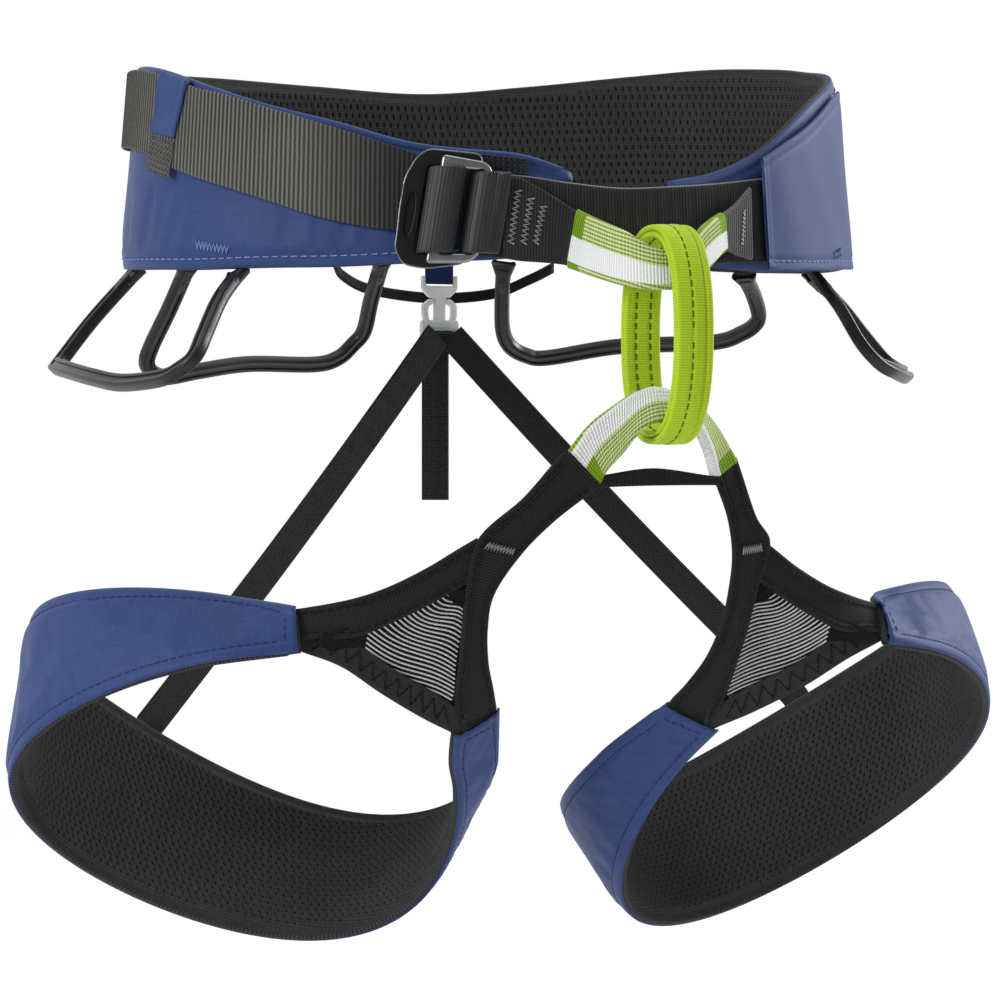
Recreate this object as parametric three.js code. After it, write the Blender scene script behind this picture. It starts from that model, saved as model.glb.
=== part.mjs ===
// Climbing harness, modelled as worn, in millimetres.
// Origin: centre of the waist ring. +X wearer's left, +Y towards the back, +Z up.
import * as THREE from 'three';

// ---- driving dimensions -------------------------------------------------
const WAIST_HALF_WIDTH = 151;      // outside of the waist pad, side to side
const WAIST_HALF_DEPTH = 110;      // outside of the waist pad, front to back
const WAIST_X = 1.5;               // the pad sits this far to the wearer's left
const WAIST_FLARE = 0.08;          // the ring widens downwards by this much per mm
const FABRIC = 1.2;                // shell and liner cloth with its backing
const WAIST_FOAM = 5;
const LEG_FOAM = 4.4;
const GAP = 0.3;                   // clearance between stacked layers
const WEBBING = 1.8;               // belt webbing thickness
const THIN_WEBBING = 1.4;          // leg webbing and elastics
const TIE_IN_WEBBING = 2.4;
const SLEEVE_WALL = 0.8;
const BELAY_WIDTH = 15;
const BELAY_THICKNESS = 5;
const ELASTIC_WIDTH = 12.5;
const GEAR_BAR_WIDTH = 6.4;
const GEAR_BAR_DEPTH = 5;
const LEG_MIDLINE = -2;            // the leg pads mirror about this x
const YOKE_MIDLINE = 0.3;          // and the webbing in front of them about this one
const CLIP_X = 19;                 // rear tab, clip and tail
const CLIP_Y = 104;

const COLOURS = {
  blue: 0x34487f, navy: 0x1c2c55, liner: 0x2b2b2d, foam: 0x55575a, webbing: 0x2a2a2b,
  tail: 0x45433f, black: 0x1b1b1c, plastic: 0x222324, silver: 0xb9bbbd, lime: 0x98c81a,
  white: 0xe8eaec, green: 0x9aba4a, clear: 0xe2e4e6, mesh: 0x77797c,
};

const model = new THREE.Group();
model.name = 'climbing_harness';
const V = (x, y, z) => new THREE.Vector3(x, y, z);
const rad = (degrees) => degrees * Math.PI / 180;

// ---- generic solids -----------------------------------------------------

function addMesh(name, positions, faces, colour, metal = 0) {
  const geometry = new THREE.BufferGeometry();
  const numbers = positions.flatMap((p) => [p.x, p.y, p.z]);
  geometry.setAttribute('position', new THREE.Float32BufferAttribute(numbers, 3));
  let volume = 0;
  for (const [a, b, c] of faces) {
    volume += positions[a].dot(V().copy(positions[b]).cross(positions[c]));
  }
  const outward = volume > 0 ? faces : faces.map(([a, b, c]) => [a, c, b]);
  geometry.setIndex(outward.flat());
  addGeometry(name, geometry, colour, metal);
}

function addGeometry(name, geometry, colour, metal = 0) {
  const material = new THREE.MeshStandardMaterial({
    color: COLOURS[colour], roughness: metal ? 0.35 : 0.8, metalness: metal,
  });
  const mesh = new THREE.Mesh(geometry, material);
  mesh.name = name;
  model.add(mesh);
}

// A point of a frame's section, in units of the frame's half width and half depth.
const inFrame = ({ p, u, v }, [s, t]) => p.clone().addScaledVector(u, s).addScaledVector(v, t);

// A solid swept along frames { p, u, v }; the outline is convex.
function sweep(name, frames, outline, colour, { closed = false, metal = 0 } = {}) {
  const n = outline.length;
  const positions = frames.flatMap((frame) => outline.map((point) => inFrame(frame, point)));
  const faces = [];
  const last = closed ? frames.length : frames.length - 1;
  for (let i = 0; i < last; i += 1) {
    const here = i * n;
    const next = ((i + 1) % frames.length) * n;
    for (let j = 0; j < n; j += 1) {
      const k = (j + 1) % n;
      // Stacked layers must be split along the same diagonal, or they cut into each other.
      if (outline[j][0] <= outline[k][0]) {
        faces.push([here + j, next + j, next + k], [here + j, next + k, here + k]);
      } else {
        faces.push([here + j, next + j, here + k], [next + j, next + k, here + k]);
      }
    }
  }
  if (!closed) {
    const end = (frames.length - 1) * n;
    for (let j = 1; j < n - 1; j += 1) {
      faces.push([0, j, j + 1], [end, end + j + 1, end + j]);
    }
  }
  addMesh(name, positions, faces, colour, metal);
}

// Two triangles of a wall patch, split from h to n2, turned inside out if `flip`.
function wall4(h, n, n2, h2, flip) {
  const pair = [[h, n, n2], [h, n2, h2]];
  return flip ? pair.map(([a, b, c]) => [a, c, b]) : pair;
}

// A flat tube around the frames, open at both ends.
function sleeve(name, frames, wall, colour) {
  const corners = [[-1, -1], [1, -1], [1, 1], [-1, 1]];
  const positions = [];
  for (const frame of frames) {
    for (const grow of [wall, 0]) {
      for (const [s, t] of corners) {
        const s2 = s * (1 + grow / frame.u.length());
        const t2 = t * (1 + grow / frame.v.length());
        positions.push(inFrame(frame, [s2, t2]));
      }
    }
  }
  const faces = [];
  const quad = (a, b, c, d) => faces.push([a, b, c], [a, c, d]);
  for (let i = 0; i < frames.length - 1; i += 1) {
    for (let j = 0; j < 4; j += 1) {
      const k = (j + 1) % 4;
      const here = i * 8;
      const next = here + 8;
      const [h, n] = j === 2 ? [here + k, next + k] : [here + j, next + j];
      const [h2, n2] = j === 2 ? [here + j, next + j] : [here + k, next + k];
      const inwards = j === 2;
      faces.push(...wall4(h, n, n2, h2, inwards), ...wall4(h + 4, n + 4, n2 + 4, h2 + 4, !inwards));
    }
  }
  const end = (frames.length - 1) * 8;
  for (let j = 0; j < 4; j += 1) {
    const k = (j + 1) % 4;
    quad(j, k, 4 + k, 4 + j);
    quad(end + j, end + 4 + j, end + 4 + k, end + k);
  }
  addMesh(name, positions, faces, colour);
}

// Frames of a strap given by its two edges. The layer spans offsets low to high along the
// strap's outward normal, which points the way that `facing` does at the first station.
function strapFrames(edgeA, edgeB, low, high, facing, closed = false) {
  const count = edgeA.length;
  const frames = [];
  let sign = 0;
  for (let i = 0; i < count; i += 1) {
    const before = closed ? (i + count - 1) % count : Math.max(i - 1, 0);
    const after = closed ? (i + 1) % count : Math.min(i + 1, count - 1);
    const mid = (k) => edgeA[k].clone().add(edgeB[k]).multiplyScalar(0.5);
    const along = mid(after).sub(mid(before));
    const u = edgeB[i].clone().sub(edgeA[i]).multiplyScalar(0.5);
    const normal = V().crossVectors(along, u).normalize();
    sign = sign || (normal.dot(facing) < 0 ? -1 : 1);
    normal.multiplyScalar(sign);
    frames.push({
      p: mid(i).addScaledVector(normal, (low + high) / 2),
      u,
      v: normal.multiplyScalar((high - low) / 2),
    });
  }
  return frames;
}

const BOX = [[-1, -1], [1, -1], [1, 1], [-1, 1]];
const PAD = [[-1, -0.4], [-0.94, -1], [0.94, -1], [1, -0.4], [1, 0.4], [0.94, 1], [-0.94, 1], [-1, 0.4]];
const OVAL = [[-1, -0.45], [-0.5, -1], [0.5, -1], [1, -0.45], [1, 0.45], [0.5, 1], [-0.5, 1], [-1, 0.45]];

// Smooth curve through the points, with `steps` pieces between neighbours.
function smooth(points, steps) {
  if (steps === 1) return points;
  const curve = new THREE.CatmullRomCurve3(points, false, 'catmullrom', 0.5);
  return curve.getPoints((points.length - 1) * steps);
}

// Rows are [edge A point, edge B point] as [x, y, z] triples.
function strap(name, rows, thickness, facing, colour, steps = 2) {
  const edgeA = smooth(rows.map((row) => V(...row[0])), steps);
  const edgeB = smooth(rows.map((row) => V(...row[1])), steps);
  sweep(name, strapFrames(edgeA, edgeB, -thickness / 2, thickness / 2, facing), BOX, colour);
}

// ---- waist belt ---------------------------------------------------------

// Point on the waist surface: angle round the ring (0 front, positive to the wearer's left,
// 180 back), height, and distance outside the pad's outer surface.
function onWaist(angle, z, out) {
  const a = rad(angle);
  const normal = V(WAIST_HALF_DEPTH * Math.sin(a), -WAIST_HALF_WIDTH * Math.cos(a), 0).normalize();
  return V(WAIST_X + WAIST_HALF_WIDTH * Math.sin(a), -WAIST_HALF_DEPTH * Math.cos(a), z)
    .addScaledVector(normal, out - WAIST_FLARE * z);
}

// Edge of the pad: [angle, top z, bottom z], from the tongue behind the buckle round the back.
const WAIST_EDGE = [
  [-4, -9, -34], [-12, -3, -41], [-22, -1, -43], [-30, 2, -44], [-40, 9, -45], [-52, 16, -45],
  [-66, 25, -45], [-78, 32, -44], [-90, 36, -43], [-106, 38, -41], [-124, 40, -38], [-144, 42, -34],
  [-164, 42, -30], [-184, 41, -28], [-202, 45, -29], [-220, 49, -31], [-238, 51, -35],
  [-256, 49, -37], [-268, 46, -38], [-280, 43, -38], [-292, 38, -38], [-302, 33, -40],
  [-312, 25, -42], [-321, 14, -43], [-330, 2, -44], [-340, -7, -43], [-348, -11, -41],
];

// The rows with one more halfway between each two.
function refine(rows) {
  const halfway = (a, b) => a.map((value, i) => (value + b[i]) / 2);
  return rows.flatMap((row, i) => (i === 0 ? [row] : [halfway(rows[i - 1], row), row]));
}

// A layer on the waist between two offsets. Rows: [angle, top z, bottom z, extra offset].
function waistLayer(name, rows, low, high, outline, colour) {
  const frames = refine(rows).map(([angle, top, bottom, shift = 0]) => {
    const middle = (low + high) / 2 + shift;
    const lower = onWaist(angle, bottom, middle);
    const upper = onWaist(angle, top, middle);
    const outer = onWaist(angle, 0, high).sub(onWaist(angle, 0, low));
    return {
      p: lower.clone().add(upper).multiplyScalar(0.5),
      u: upper.clone().sub(lower).multiplyScalar(0.5),
      v: outer.multiplyScalar(0.5),
    };
  });
  sweep(name, frames, outline, colour);
}

const inset = (rows, by) => rows.map(([angle, top, bottom]) => [angle, top - by, bottom + by]);

function waistPad() {
  const shellIn = -FABRIC;
  const foamIn = shellIn - GAP - WAIST_FOAM;
  waistLayer('waist_shell', WAIST_EDGE, shellIn, 0, BOX, 'blue');
  waistLayer('waist_foam', inset(WAIST_EDGE, 1.5), foamIn, shellIn - GAP, PAD, 'foam');
  waistLayer('waist_liner', WAIST_EDGE, foamIn - GAP - FABRIC, foamIn - GAP, BOX, 'liner');
}

// Offsets of what is stacked on the pad.
const BRIDGE_OUT = 1;
const TAIL_OUT = 1;
const KEEPER_CLOTH = 0.8;

function beltWebbing() {
  const bridge = [
    [-21, -8, -41], [-16, -10, -42], [-11, -11, -43], [-5, -13, -44], [3, -14.5, -44],
    [12, -13, -43], [20, -11, -42], [29, -8, -41], [36, -6, -40],
  ];
  waistLayer('bridge_webbing', bridge, BRIDGE_OUT, BRIDGE_OUT + WEBBING, BOX, 'webbing');
  const tail = [
    [-28, -2, -33], [-34, 3, -31], [-42, 9, -27], [-52, 16, -19.5], [-60, 21.5, -14],
    [-67, 25, -9.5], [-75, 30, -4], [-83, 34, 1.5], [-91, 36, 4.5], [-100, 37, 6], [-112, 38, 7],
    [-124, 39, 8],
  ];
  waistLayer('belt_tail_webbing', tail, TAIL_OUT, TAIL_OUT + WEBBING, BOX, 'tail');
  // The blue panel over the bridge webbing's end, standing off the pad at its free edge.
  const panel = [
    [28, 0, -44, 5.4], [34, 7, -43.5, 4.6], [39, 12, -43, 3.4], [46, 19, -42, 1.6], [54, 27, -41, 0.5],
    [62, 33, -40, 0.4],
  ];
  waistLayer('webbing_cover_panel', panel, 0, FABRIC, BOX, 'blue');
}

// The keeper stands over the tail: up from the pad, across the webbing, and back to the pad.
function keeper() {
  const cover = TAIL_OUT + WEBBING + GAP;
  const loop = [
    [[-78, 36], [-69.5, 31], 0.9], [[-78, 33.5], [-69.5, 28.5], cover + 0.5],
    [[-78.5, 21], [-70.5, 17], cover + 0.5], [[-79.5, 9.5], [-72, 6], cover + 0.5],
  ];
  const patch = [
    [[-79.8, 8.1], [-72.4, 4.7], cover + 0.4], [[-80, 3], [-72.6, -1.5], cover + 0.4],
    [[-80.2, -4.6], [-73, -9.4], cover + 0.4], [[-80.2, -7.6], [-73, -12.6], 0.9],
  ];
  const build = (name, rows, colour) => {
    const edge = (side) => rows.map((row) => onWaist(...row[side], row[2]));
    const half = KEEPER_CLOTH / 2;
    sweep(name, strapFrames(edge(0), edge(1), -half, half, V(-1, -0.3, 0)), BOX, colour);
  };
  build('keeper_loop', loop, 'blue');
  build('keeper_mesh', patch, 'mesh');
}

// ---- buckle -------------------------------------------------------------
const BUCKLE_ANGLE = -23.7;
const BUCKLE_Z = -24;
const BUCKLE_LEAN = 9;             // degrees, top towards the wearer's left
const PLATE_THICKNESS = 1.8;

// Axes of the buckle: right along the belt, up with its lean, out from the belt.
function buckleFrame() {
  const a = rad(BUCKLE_ANGLE);
  const right = V(WAIST_HALF_WIDTH * Math.cos(a), WAIST_HALF_DEPTH * Math.sin(a), 0).normalize();
  const out = V(right.y, -right.x, 0);
  const up = V(0, 0, 1);
  const matrix = new THREE.Matrix4().makeBasis(right, up, out);
  matrix.setPosition(onWaist(BUCKLE_ANGLE, BUCKLE_Z, 0));
  return matrix;
}
const BUCKLE = buckleFrame();

// Outline in the buckle's plane, sheared by its lean.
function leaning(points) {
  const slope = Math.tan(rad(BUCKLE_LEAN));
  return new THREE.Path(points.map(([x, y]) => new THREE.Vector2(x + y * slope, y)));
}

function flatPlate(name, outer, holes, base, thickness, colour, metal) {
  const shape = new THREE.Shape(leaning(outer).getPoints());
  for (const hole of holes) shape.holes.push(leaning(hole));
  const geometry = new THREE.ExtrudeGeometry(shape, { depth: thickness, bevelEnabled: false });
  geometry.translate(0, 0, base).applyMatrix4(BUCKLE);
  addGeometry(name, geometry, colour, metal);
}

const PLATE_OUT = 4.2;
const FRAME_OUT = PLATE_OUT + PLATE_THICKNESS + 0.4;
const FRAME_BAR = 2.6;

function buckle() {
  // Mesh patch on the pad, seen between the buckle and the bridge webbing.
  const backing = [[-20, -2.4, -7.4], [-15.5, -3.4, -9], [-11, -4.4, -10.2]];
  waistLayer('buckle_backing', backing, BRIDGE_OUT, BRIDGE_OUT + KEEPER_CLOTH, BOX, 'mesh');
  const plate = [
    [-16.5, 12], [-13, 20], [-9, 23], [12, 21], [12, -20.5], [-3, -22.5], [-12, -21],
    [-16, -15], [-16, -10], [-16.5, 0],
  ];
  flatPlate('buckle_plate', plate, [[[-8.5, 16.5], [-8.5, -16.5], [8.5, -16.5], [8.5, 16.5]]],
    PLATE_OUT, PLATE_THICKNESS, 'black', 0.4);
  const frame = [
    [-3.6, 19.6], [-2.6, 20.6], [13, 18], [16.4, 15], [16.4, -17], [13, -20.4], [-2.6, -20.6],
    [-3.6, -19.6],
  ];
  const window = [[1.4, 15.6], [1.4, -16.8], [13.4, -16.8], [13.4, 14.4]];
  flatPlate('buckle_frame', frame, [window], FRAME_OUT, FRAME_BAR, 'silver', 1);
  // Webbing that rises through the plate's window, over the frame's inner bar, and down again.
  const arch = [
    [-6.6, -1.3], [-6.2, 2.1], [-3.6, 4.2], [-0.2, 4.7], [2.8, 4.2], [5.4, 2.1], [5.8, -1.3],
  ];
  const slope = Math.tan(rad(BUCKLE_LEAN));
  const edge = (y) => arch.map(([x, w]) => V(x + y * slope, y, FRAME_OUT + w).applyMatrix4(BUCKLE));
  const frames = strapFrames(edge(-15.6), edge(14), -WEBBING / 2, WEBBING / 2, V(-1, -0.5, 0));
  sweep('buckle_webbing_roll', frames, BOX, 'webbing');
}

// ---- tie-in points and belay loop ---------------------------------------

// Rows: [lower edge, upper edge].
const UPPER_TIE_IN = [
  [[-40, -115.4, -42.5], [-39.6, -112.9, -11.5]],
  [[-33, -116.8, -43.5], [-32, -114.4, -12]],
  [[-24, -118, -44], [-22.5, -116.6, -17]],
  [[-15, -119.4, -45], [-11, -119, -24]],
  [[-9.5, -132, -49], [-7, -132, -29]],
  [[-3, -147, -53], [-2.5, -146, -34]],
  [[7, -154, -54.5], [7, -152.5, -40.4]],
  [[20, -151, -53], [20, -149.5, -40]],
  [[35, -137, -45], [33.5, -136.5, -30.5]],
  [[49, -121.4, -38], [48, -121.4, -24]],
  [[58, -114, -39], [58, -113.4, -19]],
  [[67, -108.6, -40.5], [67, -107, -12]],
];
const LOWER_TIE_IN = [
  [[-12, -141.4, -128], [-25, -143, -117]],
  [[-10, -144.5, -122.5], [-16, -144, -106]],
  [[-4, -148, -115], [-3, -145, -96.5]],
  [[3, -150, -106.5], [4, -145.4, -93.4]],
  [[11, -151, -103.6], [11, -145.4, -92.4]],
  [[22.5, -149.6, -104.4], [24.5, -143.6, -96.8]],
  [[30, -146, -113.4], [36, -140.4, -106]],
  [[36.5, -139.4, -126], [47, -137, -119.5]],
];

// Load-bearing webbing with a worn-through warning sleeve over part of it.
function tieIn(end, rows, coverFrom, coverTo, colour) {
  const steps = 2;
  const edgeA = smooth(rows.map((row) => V(...row[0])), steps);
  const edgeB = smooth(rows.map((row) => V(...row[1])), steps);
  const frames = strapFrames(edgeA, edgeB, -TIE_IN_WEBBING / 2, TIE_IN_WEBBING / 2, V(0, -1, 0));
  sweep(`tie_in_webbing_${end}`, frames, BOX, 'webbing');
  const roomy = frames.slice(coverFrom * steps, coverTo * steps + 1).map(({ p, u, v }) => ({
    p,
    u: u.clone().setLength(u.length() + GAP),
    v: v.clone().setLength(v.length() + GAP),
  }));
  sleeve(`tie_in_cover_${end}`, roomy, SLEEVE_WALL, colour);
}

const BELAY_X = 16;
const BELAY_Y = -142;
const BELAY_TOP = -30;
const BELAY_BOTTOM = -113;
const BELAY_HALF_DEPTH = 27;

function belayLoop() {
  const count = 28;
  const middle = (BELAY_TOP + BELAY_BOTTOM) / 2;
  const halfHeight = (BELAY_TOP - BELAY_BOTTOM) / 2 - BELAY_THICKNESS / 2;
  const halfDepth = BELAY_HALF_DEPTH - BELAY_THICKNESS / 2;
  const squareness = 0.85;
  const edge = (x) => Array.from({ length: count }, (_, i) => {
    const a = (i / count) * 2 * Math.PI;
    const soft = (value) => Math.sign(value) * Math.abs(value) ** squareness;
    return V(x, BELAY_Y - halfDepth * soft(Math.cos(a)), middle + halfHeight * soft(Math.sin(a)));
  });
  const half = BELAY_THICKNESS / 2;
  const frames = strapFrames(edge(BELAY_X - BELAY_WIDTH / 2), edge(BELAY_X + BELAY_WIDTH / 2),
    -half, half, V(0, -1, 0), true);
  sweep('belay_loop', frames, OVAL, 'lime', { closed: true });
}

// ---- leg loops ----------------------------------------------------------

// Closed curves of the left leg pad's two edges. At angle t (0 front, 90 outer side, 180 back)
// a point is centre + out sin t - back cos t + skew sin 2t + pinch cos 2t.
const LEG_LOWER = {
  centre: [118, -56, -249],
  out: [82, 3, 26],
  back: [14, 59, -51],
  skew: [-3, -2, -4],
  pinch: [-2, -4, 3],
};
const LEG_UPPER = {
  centre: [103, -37, -213],
  out: [85, -2, 40],
  back: [18, 61, -24],
  skew: [3, 4, -1],
  pinch: [-4, -7, 2],
};
const LEG_STEP = 9;                // degrees between the pad's stations
const OUTER_END = [[122, -116, -191], [121, -109, -174.5]];
const INNER_END = [[56, -102, -223], [36, -97, -213]];

function legEdge(curve, degrees) {
  const t = rad(degrees);
  const terms = [1, Math.sin(t), -Math.cos(t), Math.sin(2 * t), Math.cos(2 * t)];
  const vectors = [curve.centre, curve.out, curve.back, curve.skew, curve.pinch];
  const along = (axis) => terms.reduce((sum, term, i) => sum + term * vectors[i][axis], 0);
  return [0, 1, 2].map(along);
}

// Where each side's rear elastic meets its pad, as an angle round the leg.
const ELASTIC_ANGLE = { right: 168, left: 157 };

// Front yoke of the left leg; the top rows of the riser differ from side to side.
const RISER_TOP = {
  left: [
    [[38, -140, -128.5], [48.5, -137.6, -122.6]],
    [[44, -137, -141], [55.5, -136.4, -140]],
    [[48, -132.6, -155], [63, -133.5, -150.5]],
  ],
  right: [
    [[16.5, -141.5, -131.5], [30.5, -143.5, -119.5]],
    [[30, -139, -142], [43, -142, -133.5]],
    [[41, -134.5, -154], [58, -135, -148.5]],
  ],
};
const RISER = [
  [[49, -127, -169], [60.5, -128.5, -167]],
  [[49, -120, -182], [59.5, -121.5, -183]],
  [[46, -113, -195], [58, -114.5, -197]],
  [[41, -105.5, -205.5], [57, -107.5, -208.5]],
  [[37.6, -99.5, -211.6], [54, -103.6, -217.8]],
];
const OUTER_BRANCH = [
  [[61.5, -129, -165.5], [65, -132.6, -152.5]],
  [[73, -126.6, -172], [77, -129, -160]],
  [[86, -123.5, -178.5], [91, -125, -167]],
  [[101, -119.6, -184.6], [104, -120.6, -171.4]],
  [[117.5, -115, -185.4], [118.6, -111, -174.6]],
];
const ELASTIC_BAND = [
  [[56.4, -103.4, -221.6], [57.4, -106.6, -212.5]],
  [[70, -108, -215.5], [68, -110, -206.5]],
  [[88, -113.6, -206], [84, -115, -198.5]],
  [[105, -117.6, -195.6], [100, -118, -190.6]],
  [[118.6, -116, -190.2], [112, -117.2, -187]],
];
const WINDOW = [
  [[62.2, -128.8, -168.2], [62.4, -128.9, -167.6]],
  [[61.6, -122, -182], [77, -125, -175]],
  [[61, -115.2, -194], [88, -121.6, -180.6]],
  [[61, -109.6, -206.2], [98.4, -118.4, -186.4]],
];

function leg(side) {
  const sign = side === 'left' ? 1 : -1;
  const mirrorAbout = (middle) => ([x, y, z]) => [side === 'left' ? x : 2 * middle - x, y, z];
  const mirror = mirrorAbout(LEG_MIDLINE);
  const rows = (table) => table.map((row) => row.map(mirrorAbout(YOKE_MIDLINE)));
  const name = (piece) => `leg_${side}_${piece}`;

  const stations = rows([OUTER_END, INNER_END]);
  for (let angle = 308; angle >= 28; angle -= LEG_STEP) {
    stations.splice(1, 0, [mirror(legEdge(LEG_LOWER, angle)), mirror(legEdge(LEG_UPPER, angle))]);
  }
  const lower = stations.map((row) => V(...row[0]));
  const upper = stations.map((row) => V(...row[1]));
  const outward = V(sign * 0.6, -0.8, 0);
  const half = LEG_FOAM / 2;
  const layer = (low, high) => strapFrames(lower, upper, low, high, outward);
  const skin = half + GAP;
  sweep(name('shell'), layer(skin, skin + FABRIC), BOX, 'blue');
  const narrowed = PAD.map(([s, t]) => [s * 0.96, t]);
  sweep(name('foam'), layer(-half, half).slice(1, -1), narrowed, 'foam');
  sweep(name('liner'), layer(-skin - FABRIC, -skin), BOX, 'liner');

  const forward = V(0, -1, 0);
  const riserTop = RISER_TOP[side];
  strap(name('riser'), rows([...riserTop, ...RISER]), THIN_WEBBING, forward, 'webbing', 2);
  strap(name('outer_branch'), rows(OUTER_BRANCH), THIN_WEBBING, forward, 'webbing', 2);
  strap(name('elastic_band'), rows(ELASTIC_BAND), THIN_WEBBING, forward, 'webbing', 2);
  strap(name('mesh_window'), rows(WINDOW), 0.8, forward, 'mesh', 1);

  // Rear elastic: from the clip's base to just outside the pad's upper back edge.
  const angle = ELASTIC_ANGLE[side];
  const target = V(...mirror(legEdge(LEG_UPPER, angle))).add(V(0, 9, 1));
  const start = V(CLIP_X + (side === 'left' ? 9 : -6), CLIP_Y - 1, -70);
  const across = V().crossVectors(target.clone().sub(start), V(0, 1, 0)).setLength(ELASTIC_WIDTH / 2);
  const edge = (s) => [start, target].map((end) => end.clone().addScaledVector(across, s));
  sweep(name('rear_elastic'), strapFrames(edge(-1), edge(1), -0.8, 0.8, forward), BOX, 'black');
}

function crossStrap() {
  strap('cross_strap', [
    [[-8.5, -142.6, -129.2], [-9.5, -142.8, -124.4]],
    [[10, -143.4, -128.6], [10, -143.4, -122]],
    [[33.5, -141.6, -128.4], [33, -141.8, -124.6]],
  ], THIN_WEBBING, V(0, -1, 0), 'black', 2);
}

// ---- gear loops ---------------------------------------------------------

const TAB_OUT = -9.2;              // just inside the liner
// Centre line of each loop, from one anchor to the other.
const GEAR_LOOPS = {
  side_right: [
    [-127, -57.5, -48], [-137, -67, -58], [-146, -77, -71], [-152, -83, -80], [-157, -79, -85],
    [-161, -69, -88], [-168, -42, -89], [-172, -14, -86], [-173.5, 14, -82.5], [-172.5, 32, -80.5],
    [-168, 42, -78], [-154, 44, -61], [-136.5, 44, -42],
  ],
  side_left: [
    [114.5, -72, -45.5], [118, -84, -57], [124, -90, -71], [132, -90, -79], [142, -84, -82],
    [159, -60, -83], [181, -20, -81], [193, 8, -79], [192, 19, -74], [180, 18, -62],
    [168, 16, -50], [153.5, 13, -40],
  ],
  rear_right: [
    [-104, 77, -38], [-108, 88, -54], [-112, 100, -69], [-113, 104, -76], [-110, 106, -80],
    [-103, 108, -82], [-86, 114, -79], [-61, 124, -75.5], [-28, 134, -75], [-16, 136, -72],
    [-9, 136, -66], [-5, 133, -60], [-5, 124, -47], [-5, 110.5, -31.5],
  ],
  rear_left: [
    [49, 104, -33], [52, 113, -46], [56, 122, -59], [61, 126, -66], [69, 127, -70],
    [79, 126, -71], [108, 112, -66], [138, 81, -65], [148, 70, -61], [152, 65, -57],
    [152, 62, -53], [146, 55, -45], [138, 46, -38.6],
  ],
};

// Angle round the waist of a point near it.
function angleAt(p) {
  return Math.atan2((p.x - WAIST_X) / WAIST_HALF_WIDTH, -p.y / WAIST_HALF_DEPTH) / rad(1);
}

function gearLoop(place, rows) {
  const line = rows.map((row) => V(...row));
  const centre = line.reduce((sum, p) => sum.add(p), V(0, 0, 0)).divideScalar(line.length);
  const first = line[0];
  const last = line[line.length - 1];
  // The loop lies in the slanting surface through its two anchors and its lowest bar.
  const normal = V().crossVectors(last.clone().sub(first), centre.clone().sub(first)).normalize();
  const frames = line.map((p, i) => {
    const along = line[Math.min(i + 1, line.length - 1)].clone().sub(line[Math.max(i - 1, 0)]);
    const u = V().crossVectors(along, normal).setLength(GEAR_BAR_WIDTH / 2);
    const v = V().crossVectors(along, u).setLength(GEAR_BAR_DEPTH / 2);
    return { p, u, v };
  });
  sweep(`gear_loop_${place}`, frames, OVAL, 'plastic');

  // Fabric tabs inside the pad's lower edge that hold the loop's two ends.
  for (const [end, anchor] of [['a', first], ['b', last]]) {
    const angle = angleAt(anchor);
    const halfAngle = 3;
    const profile = [anchor.z + 3.6, anchor.z + 8, anchor.z + 12];
    const edge = (turn) => profile.map((height) => onWaist(angle + turn, height, TAB_OUT));
    const tab = strapFrames(edge(-halfAngle), edge(halfAngle), -0.4, 0.4, onWaist(angle, 0, 0));
    sweep(`gear_tab_${place}_${end}`, tab, BOX, 'black');
  }
}

function haulLoop() {
  const rows = [
    [190, 3.6, -31], [187, 12, -36.5], [181, 20, -42], [171, 24, -45], [162, 22, -43],
    [156.5, 13, -37], [153, 3.6, -32.5],
  ];
  const line = smooth(rows.map(([angle, out, z]) => onWaist(angle, z, out)), 2);
  const height = 2.4;
  const edge = (s) => line.map((p) => p.clone().add(V(0, 0, s * height)));
  sweep('haul_loop', strapFrames(edge(-1), edge(1), -1, 1, V(0, 1, 0)), BOX, 'black');
}

// ---- rear tab, release clip and tail ------------------------------------

function box(name, centre, size, colour) {
  const geometry = new THREE.BoxGeometry(...size);
  geometry.translate(...centre);
  addGeometry(name, geometry, colour);
}

function extrudeFlat(name, points, depth, holes, colour) {
  const flat = (outline) => outline.map(([x, z]) => new THREE.Vector2(x, z));
  const shape = new THREE.Shape(flat(points));
  for (const hole of holes) shape.holes.push(new THREE.Path(flat(hole)));
  const geometry = new THREE.ExtrudeGeometry(shape, { depth, bevelEnabled: false });
  geometry.translate(0, 0, -depth / 2).rotateX(Math.PI / 2).translate(CLIP_X, CLIP_Y, 0);
  addGeometry(name, geometry, colour);
}

function rearClip() {
  box('rear_tab', [CLIP_X, CLIP_Y, -35], [13, 1.4, 11], 'navy');
  // Upper half: a yoke under the tab, with the two sprung arms below it.
  extrudeFlat('clip_plug', [
    [-8, -37], [-6.8, -37], [-6.8, -41.4], [6.8, -41.4], [6.8, -37], [8, -37], [8, -43],
    [4.6, -46.5], [2.4, -46.5], [2.4, -55], [-2.4, -55], [-2.4, -46.5], [-4.6, -46.5], [-8, -43],
  ], 3.6, [], 'clear');
  for (const [side, sign] of [['left', 1], ['right', -1]]) {
    extrudeFlat(`clip_arm_${side}`, [
      [2.9, -47], [4.6, -47], [7.8, -49.5], [7.8, -53], [6.2, -55.6], [4.9, -55.6],
      [5.6, -52.6], [5.4, -50.4], [2.9, -49],
    ].map(([x, z]) => [sign * x, z]), 3.4, [], 'clear');
  }
  // Lower half: the socket with its webbing bar.
  extrudeFlat('clip_socket', [
    [-8, -56.2], [8, -56.2], [8.4, -58], [8.4, -65], [7.4, -66], [-7.4, -66], [-8.4, -65], [-8.4, -58],
  ], 4.6, [[[-6.4, -61], [-6.4, -63.4], [6.4, -63.4], [6.4, -61]]], 'clear');
  box('strap_tail', [CLIP_X - 0.5, CLIP_Y + 3.4, -100], [12.5, 1.4, 68], 'black');
}

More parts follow.
